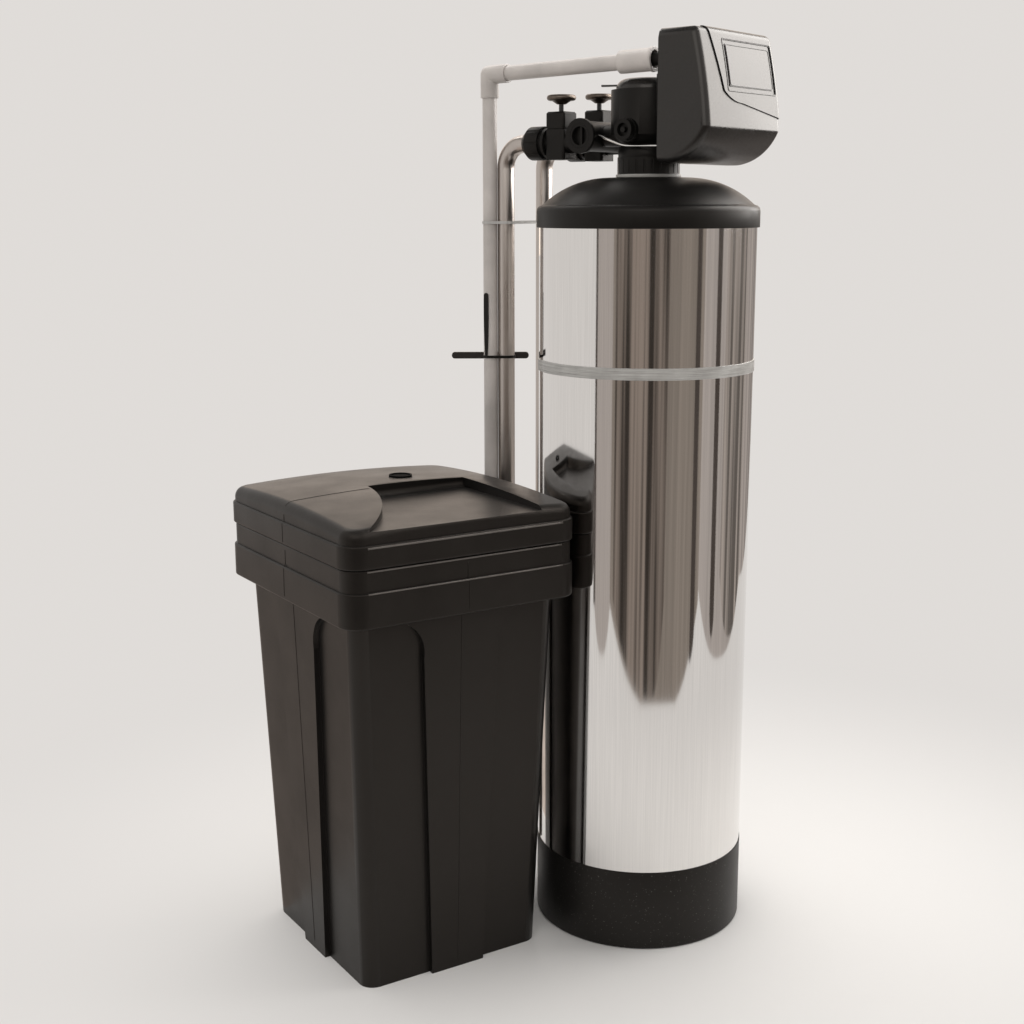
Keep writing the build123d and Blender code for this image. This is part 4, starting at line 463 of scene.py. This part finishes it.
def seen(tree):
    """One where a ray comes from the camera, a mirror or glass, else zero."""
    path = tree.nodes.new("ShaderNodeLightPath")
    share = path.outputs["Is Camera Ray"]
    for name in ("Is Glossy Ray", "Is Transmission Ray"):
        either = tree.nodes.new("ShaderNodeMath")
        either.operation = "MAXIMUM"
        tree.links.new(share, either.inputs[0])
        tree.links.new(path.outputs[name], either.inputs[1])
        share = either.outputs[0]
    return share


def floor_look():
    """Pale matte floor that runs without a line into the backdrop's colour."""
    n = Nodes("floor")
    n.set(Base_Color=(0.73, 0.715, 0.70, 1), Roughness=0.9)
    reach = n.add("ShaderNodeVectorMath", operation="LENGTH")
    n.link(n.place, reach.inputs[0])
    far = n.add("ShaderNodeMapRange", interpolation_type="SMOOTHSTEP")
    far.inputs["From Min"].default_value = 0.1
    far.inputs["From Max"].default_value = 1.35
    n.link(reach.outputs["Value"], far.inputs["Value"])
    glow = n.add("ShaderNodeEmission")
    glow.inputs["Color"].default_value = (*BACK, 1)
    both = n.add("ShaderNodeMixShader")
    n.link(n.maths("MULTIPLY", far.outputs[0], seen(n.tree)), both.inputs[0])
    n.link(n.shader.outputs[0], both.inputs[1])
    n.link(glow.outputs[0], both.inputs[2])
    n.link(both.outputs[0], n.out.inputs["Surface"])
    return n.material


def studio():
    half = 14.0
    stage_mesh("floor", [(-half, -half, 0), (half, -half, 0), (half, half, 0), (-half, half, 0)],
               [(0, 1, 2, 3)], floor_look())
    world = bpy.data.worlds.new("studio")
    world.use_nodes = True
    bpy.context.scene.world = world
    tree = world.node_tree
    tree.nodes.clear()
    out = tree.nodes.new("ShaderNodeOutputWorld")
    shown = tree.nodes.new("ShaderNodeBackground")
    shown.inputs["Color"].default_value = (*BACK, 1)
    shown.inputs["Strength"].default_value = 1.0
    lit = tree.nodes.new("ShaderNodeBackground")
    lit.inputs["Color"].default_value = (1.0, 0.985, 0.965, 1)
    lit.inputs["Strength"].default_value = 0.72
    mix = tree.nodes.new("ShaderNodeMixShader")
    tree.links.new(seen(tree), mix.inputs[0])
    tree.links.new(lit.outputs[0], mix.inputs[1])
    tree.links.new(shown.outputs[0], mix.inputs[2])
    tree.links.new(mix.outputs[0], out.inputs[0])


def lamp(name, place, aim, size, power, colour=(1.0, 0.985, 0.96)):
    data = bpy.data.lights.new(name, "AREA")
    data.shape = "RECTANGLE"
    data.size, data.size_y = size
    data.energy = power
    data.color = colour
    item = bpy.data.objects.new(name, data)
    item.location = place
    item.rotation_euler = (Vector(aim) - Vector(place)).to_track_quat("-Z", "Y").to_euler()
    bpy.context.scene.collection.objects.link(item)


def glow_card(name, corners, faces, look):
    """A card that only gloss and polished metal see."""
    card = stage_mesh(name, corners, faces, look)
    card.visible_camera = False
    card.visible_diffuse = False
    card.visible_shadow = False
    card.visible_transmission = False


def room_look(name, tone, contrast, strength=1.0):
    """The room in one tone, with upright streaks where it has contrast."""
    n = Nodes(name)
    glow = n.add("ShaderNodeEmission")
    if contrast:
        streaks = n.noise(1.0, 2.0, 0.55, n.stretched((9.0, 9.0, 0.45)))
        tones = n.ramp(streaks, (0.38, shade(tone, 1 - contrast)), (0.5, tone),
                       (0.62, shade(tone, 1 + contrast)))
        n.link(tones, glow.inputs["Color"])
    else:
        glow.inputs["Color"].default_value = (*tone, 1)
    glow.inputs["Strength"].default_value = strength
    n.link(glow.outputs[0], n.out.inputs["Surface"])
    return n.material


def around(reach, heading, height):
    """A place round the tall tank's axis, by its distance, its heading in degrees and its height."""
    return reach * cos(radians(heading)), reach * sin(radians(heading)), height


def cards():
    """The room behind the camera as the polished jacket mirrors it: rounded bars round the tank."""
    brown = (0.256, 0.218, 0.187)
    grey = (0.43, 0.385, 0.355)
    line = (0.07, 0.057, 0.05)
    bars = [  # first and last heading from the tank and the heading of the lowest point, in degrees,
              # distance, height of the foot, rise of its round, tone, contrast of its streaks
        (-178, -159, -168, 1.27, 0.10, 0.15, grey, 0.0),
        (-178, -176, -177, 1.24, 0.22, 0.0, line, 0.0),
        (-160, -68, -106, 1.26, -0.02, 0.24, brown, 0.12),
        (-157, -105, -116, 1.24, 0.02, 0.22, (0.165, 0.135, 0.115), 0.75),
        (-77, -72, -77, 1.22, 0.10, 0.06, line, 0.0),
        (-68, -2, -38, 1.26, 0.08, 0.17, grey, 0.1),
        (-53, -47, -50, 1.24, 0.14, 0.05, line, 0.0),
        (-40, -3, -22, 1.23, 0.13, 0.15, (0.27, 0.235, 0.21), 0.55),
        (-2, 46, -2, 1.26, 0.25, 0.70, (0.34, 0.30, 0.275), 0.3),
    ]
    top = 1.08
    steps = 20
    for k, (first, last, lowest, reach, foot, rise, tone, contrast) in enumerate(bars):
        corners = []
        for j in range(steps + 1):
            heading = first + (last - first) * j / steps
            edge = first if heading < lowest else last
            share = (heading - lowest) / (edge - lowest)
            corners.append(around(reach, heading, foot + rise * abs(share) ** 2.6))
            corners.append(around(reach, heading, top))
        faces = [(2 * j, 2 * j + 2, 2 * j + 3, 2 * j + 1) for j in range(steps)]
        glow_card(f"card_{k}", corners, faces, room_look(f"card_{k}", tone, contrast))


def windows():
    """Two bright windows for gloss: one to the right of the valve, one high behind the lid."""
    views = [  # heading, distance, foot, top, half width, strength, tone
        (-14, 2.3, 1.0, 4.3, 1.3, 6.5, (1.0, 0.97, 0.94)),
        (52, 3.0, 0.9, 3.2, 1.9, 1.35, (0.93, 0.80, 0.69)),
    ]
    for k, (heading, reach, foot, top, half, strength, tone) in enumerate(views):
        middle = Vector(around(reach, heading, 0))
        along = Vector((-sin(radians(heading)), cos(radians(heading)), 0)) * half
        corners = [tuple(middle + along * side + Vector((0, 0, z)))
                   for z in (foot, top) for side in (-1, 1)]
        look = room_look(f"window_{k}", tone, 0.0, strength)
        glow_card(f"window_{k}", corners, [(0, 1, 3, 2)], look)


def left_floor():
    """The brown floor and skirting to the left that the brine tank's side mirrors."""
    rows = ((0.5, 0.01), (2.2, 0.01), (2.2, 0.3))  # distance and height of each pair of corners
    corners = [around(reach, heading, z) for reach, z in rows for heading in (96, 152)]
    look = room_look("left_floor", (0.59, 0.50, 0.44), 0.1)
    glow_card("left_floor", corners, [(0, 1, 3, 2), (2, 3, 5, 4)], look)


def ceiling():
    """The dim ceiling that the domed tops mirror."""
    left, right, half, height = -1.1, 0.7, 0.9, 2.2
    corners = [(left, -half, height), (right, -half, height), (right, half, height), (left, half, height)]
    glow_card("ceiling", corners, [(0, 1, 2, 3)], room_look("ceiling", (0.13, 0.12, 0.115), 0.2))


def soften():
    """Small rounds on the moulded edges of solids that the frame gives."""
    widths = {"brine_tank": 0.0016, "brine_lid": 0.0018, "lid_plug": 0.0008, "dome_cap": 0.0015,
              "tank_boot": 0.0012, "head_cover": 0.0009, "valve_body": 0.0008, "bypass_body": 0.0009,
              "bypass_bonnets": 0.0009, "bypass_end_plugs": 0.0008, "union_nuts": 0.0008,
              "drain_coupling": 0.0006, "drain_elbow": 0.0006, "neck_ring": 0.0008, "pipe_brace": 0.0012}
    for name, width in widths.items():
        item = frame["nodes"][name]
        weld = item.modifiers.new("weld", "WELD")
        weld.merge_threshold = 0.00001
        bevel = item.modifiers.new("rounds", "BEVEL")
        bevel.width = width
        bevel.segments = 2
        bevel.limit_method = "ANGLE"
        bevel.angle_limit = radians(32)
        bevel.harden_normals = False


camera()
studio()
cards()
windows()
ceiling()
left_floor()
lamp("key", place=(2.6, -0.9, 2.6), aim=(-0.1, 0.0, 0.6), size=(2.2, 2.2), power=40)
lamp("fill", place=(-2.2, -2.0, 2.4), aim=(-0.1, 0.0, 0.6), size=(2.4, 2.4), power=16)
lamp("top", place=(0.2, 0.9, 3.4), aim=(-0.1, 0.1, 0.6), size=(2.6, 2.6), power=50)
dress()
soften()
front_panel()
rolled_ledges()
mould_marks()

bpy.context.scene.view_settings.view_transform = "Standard"
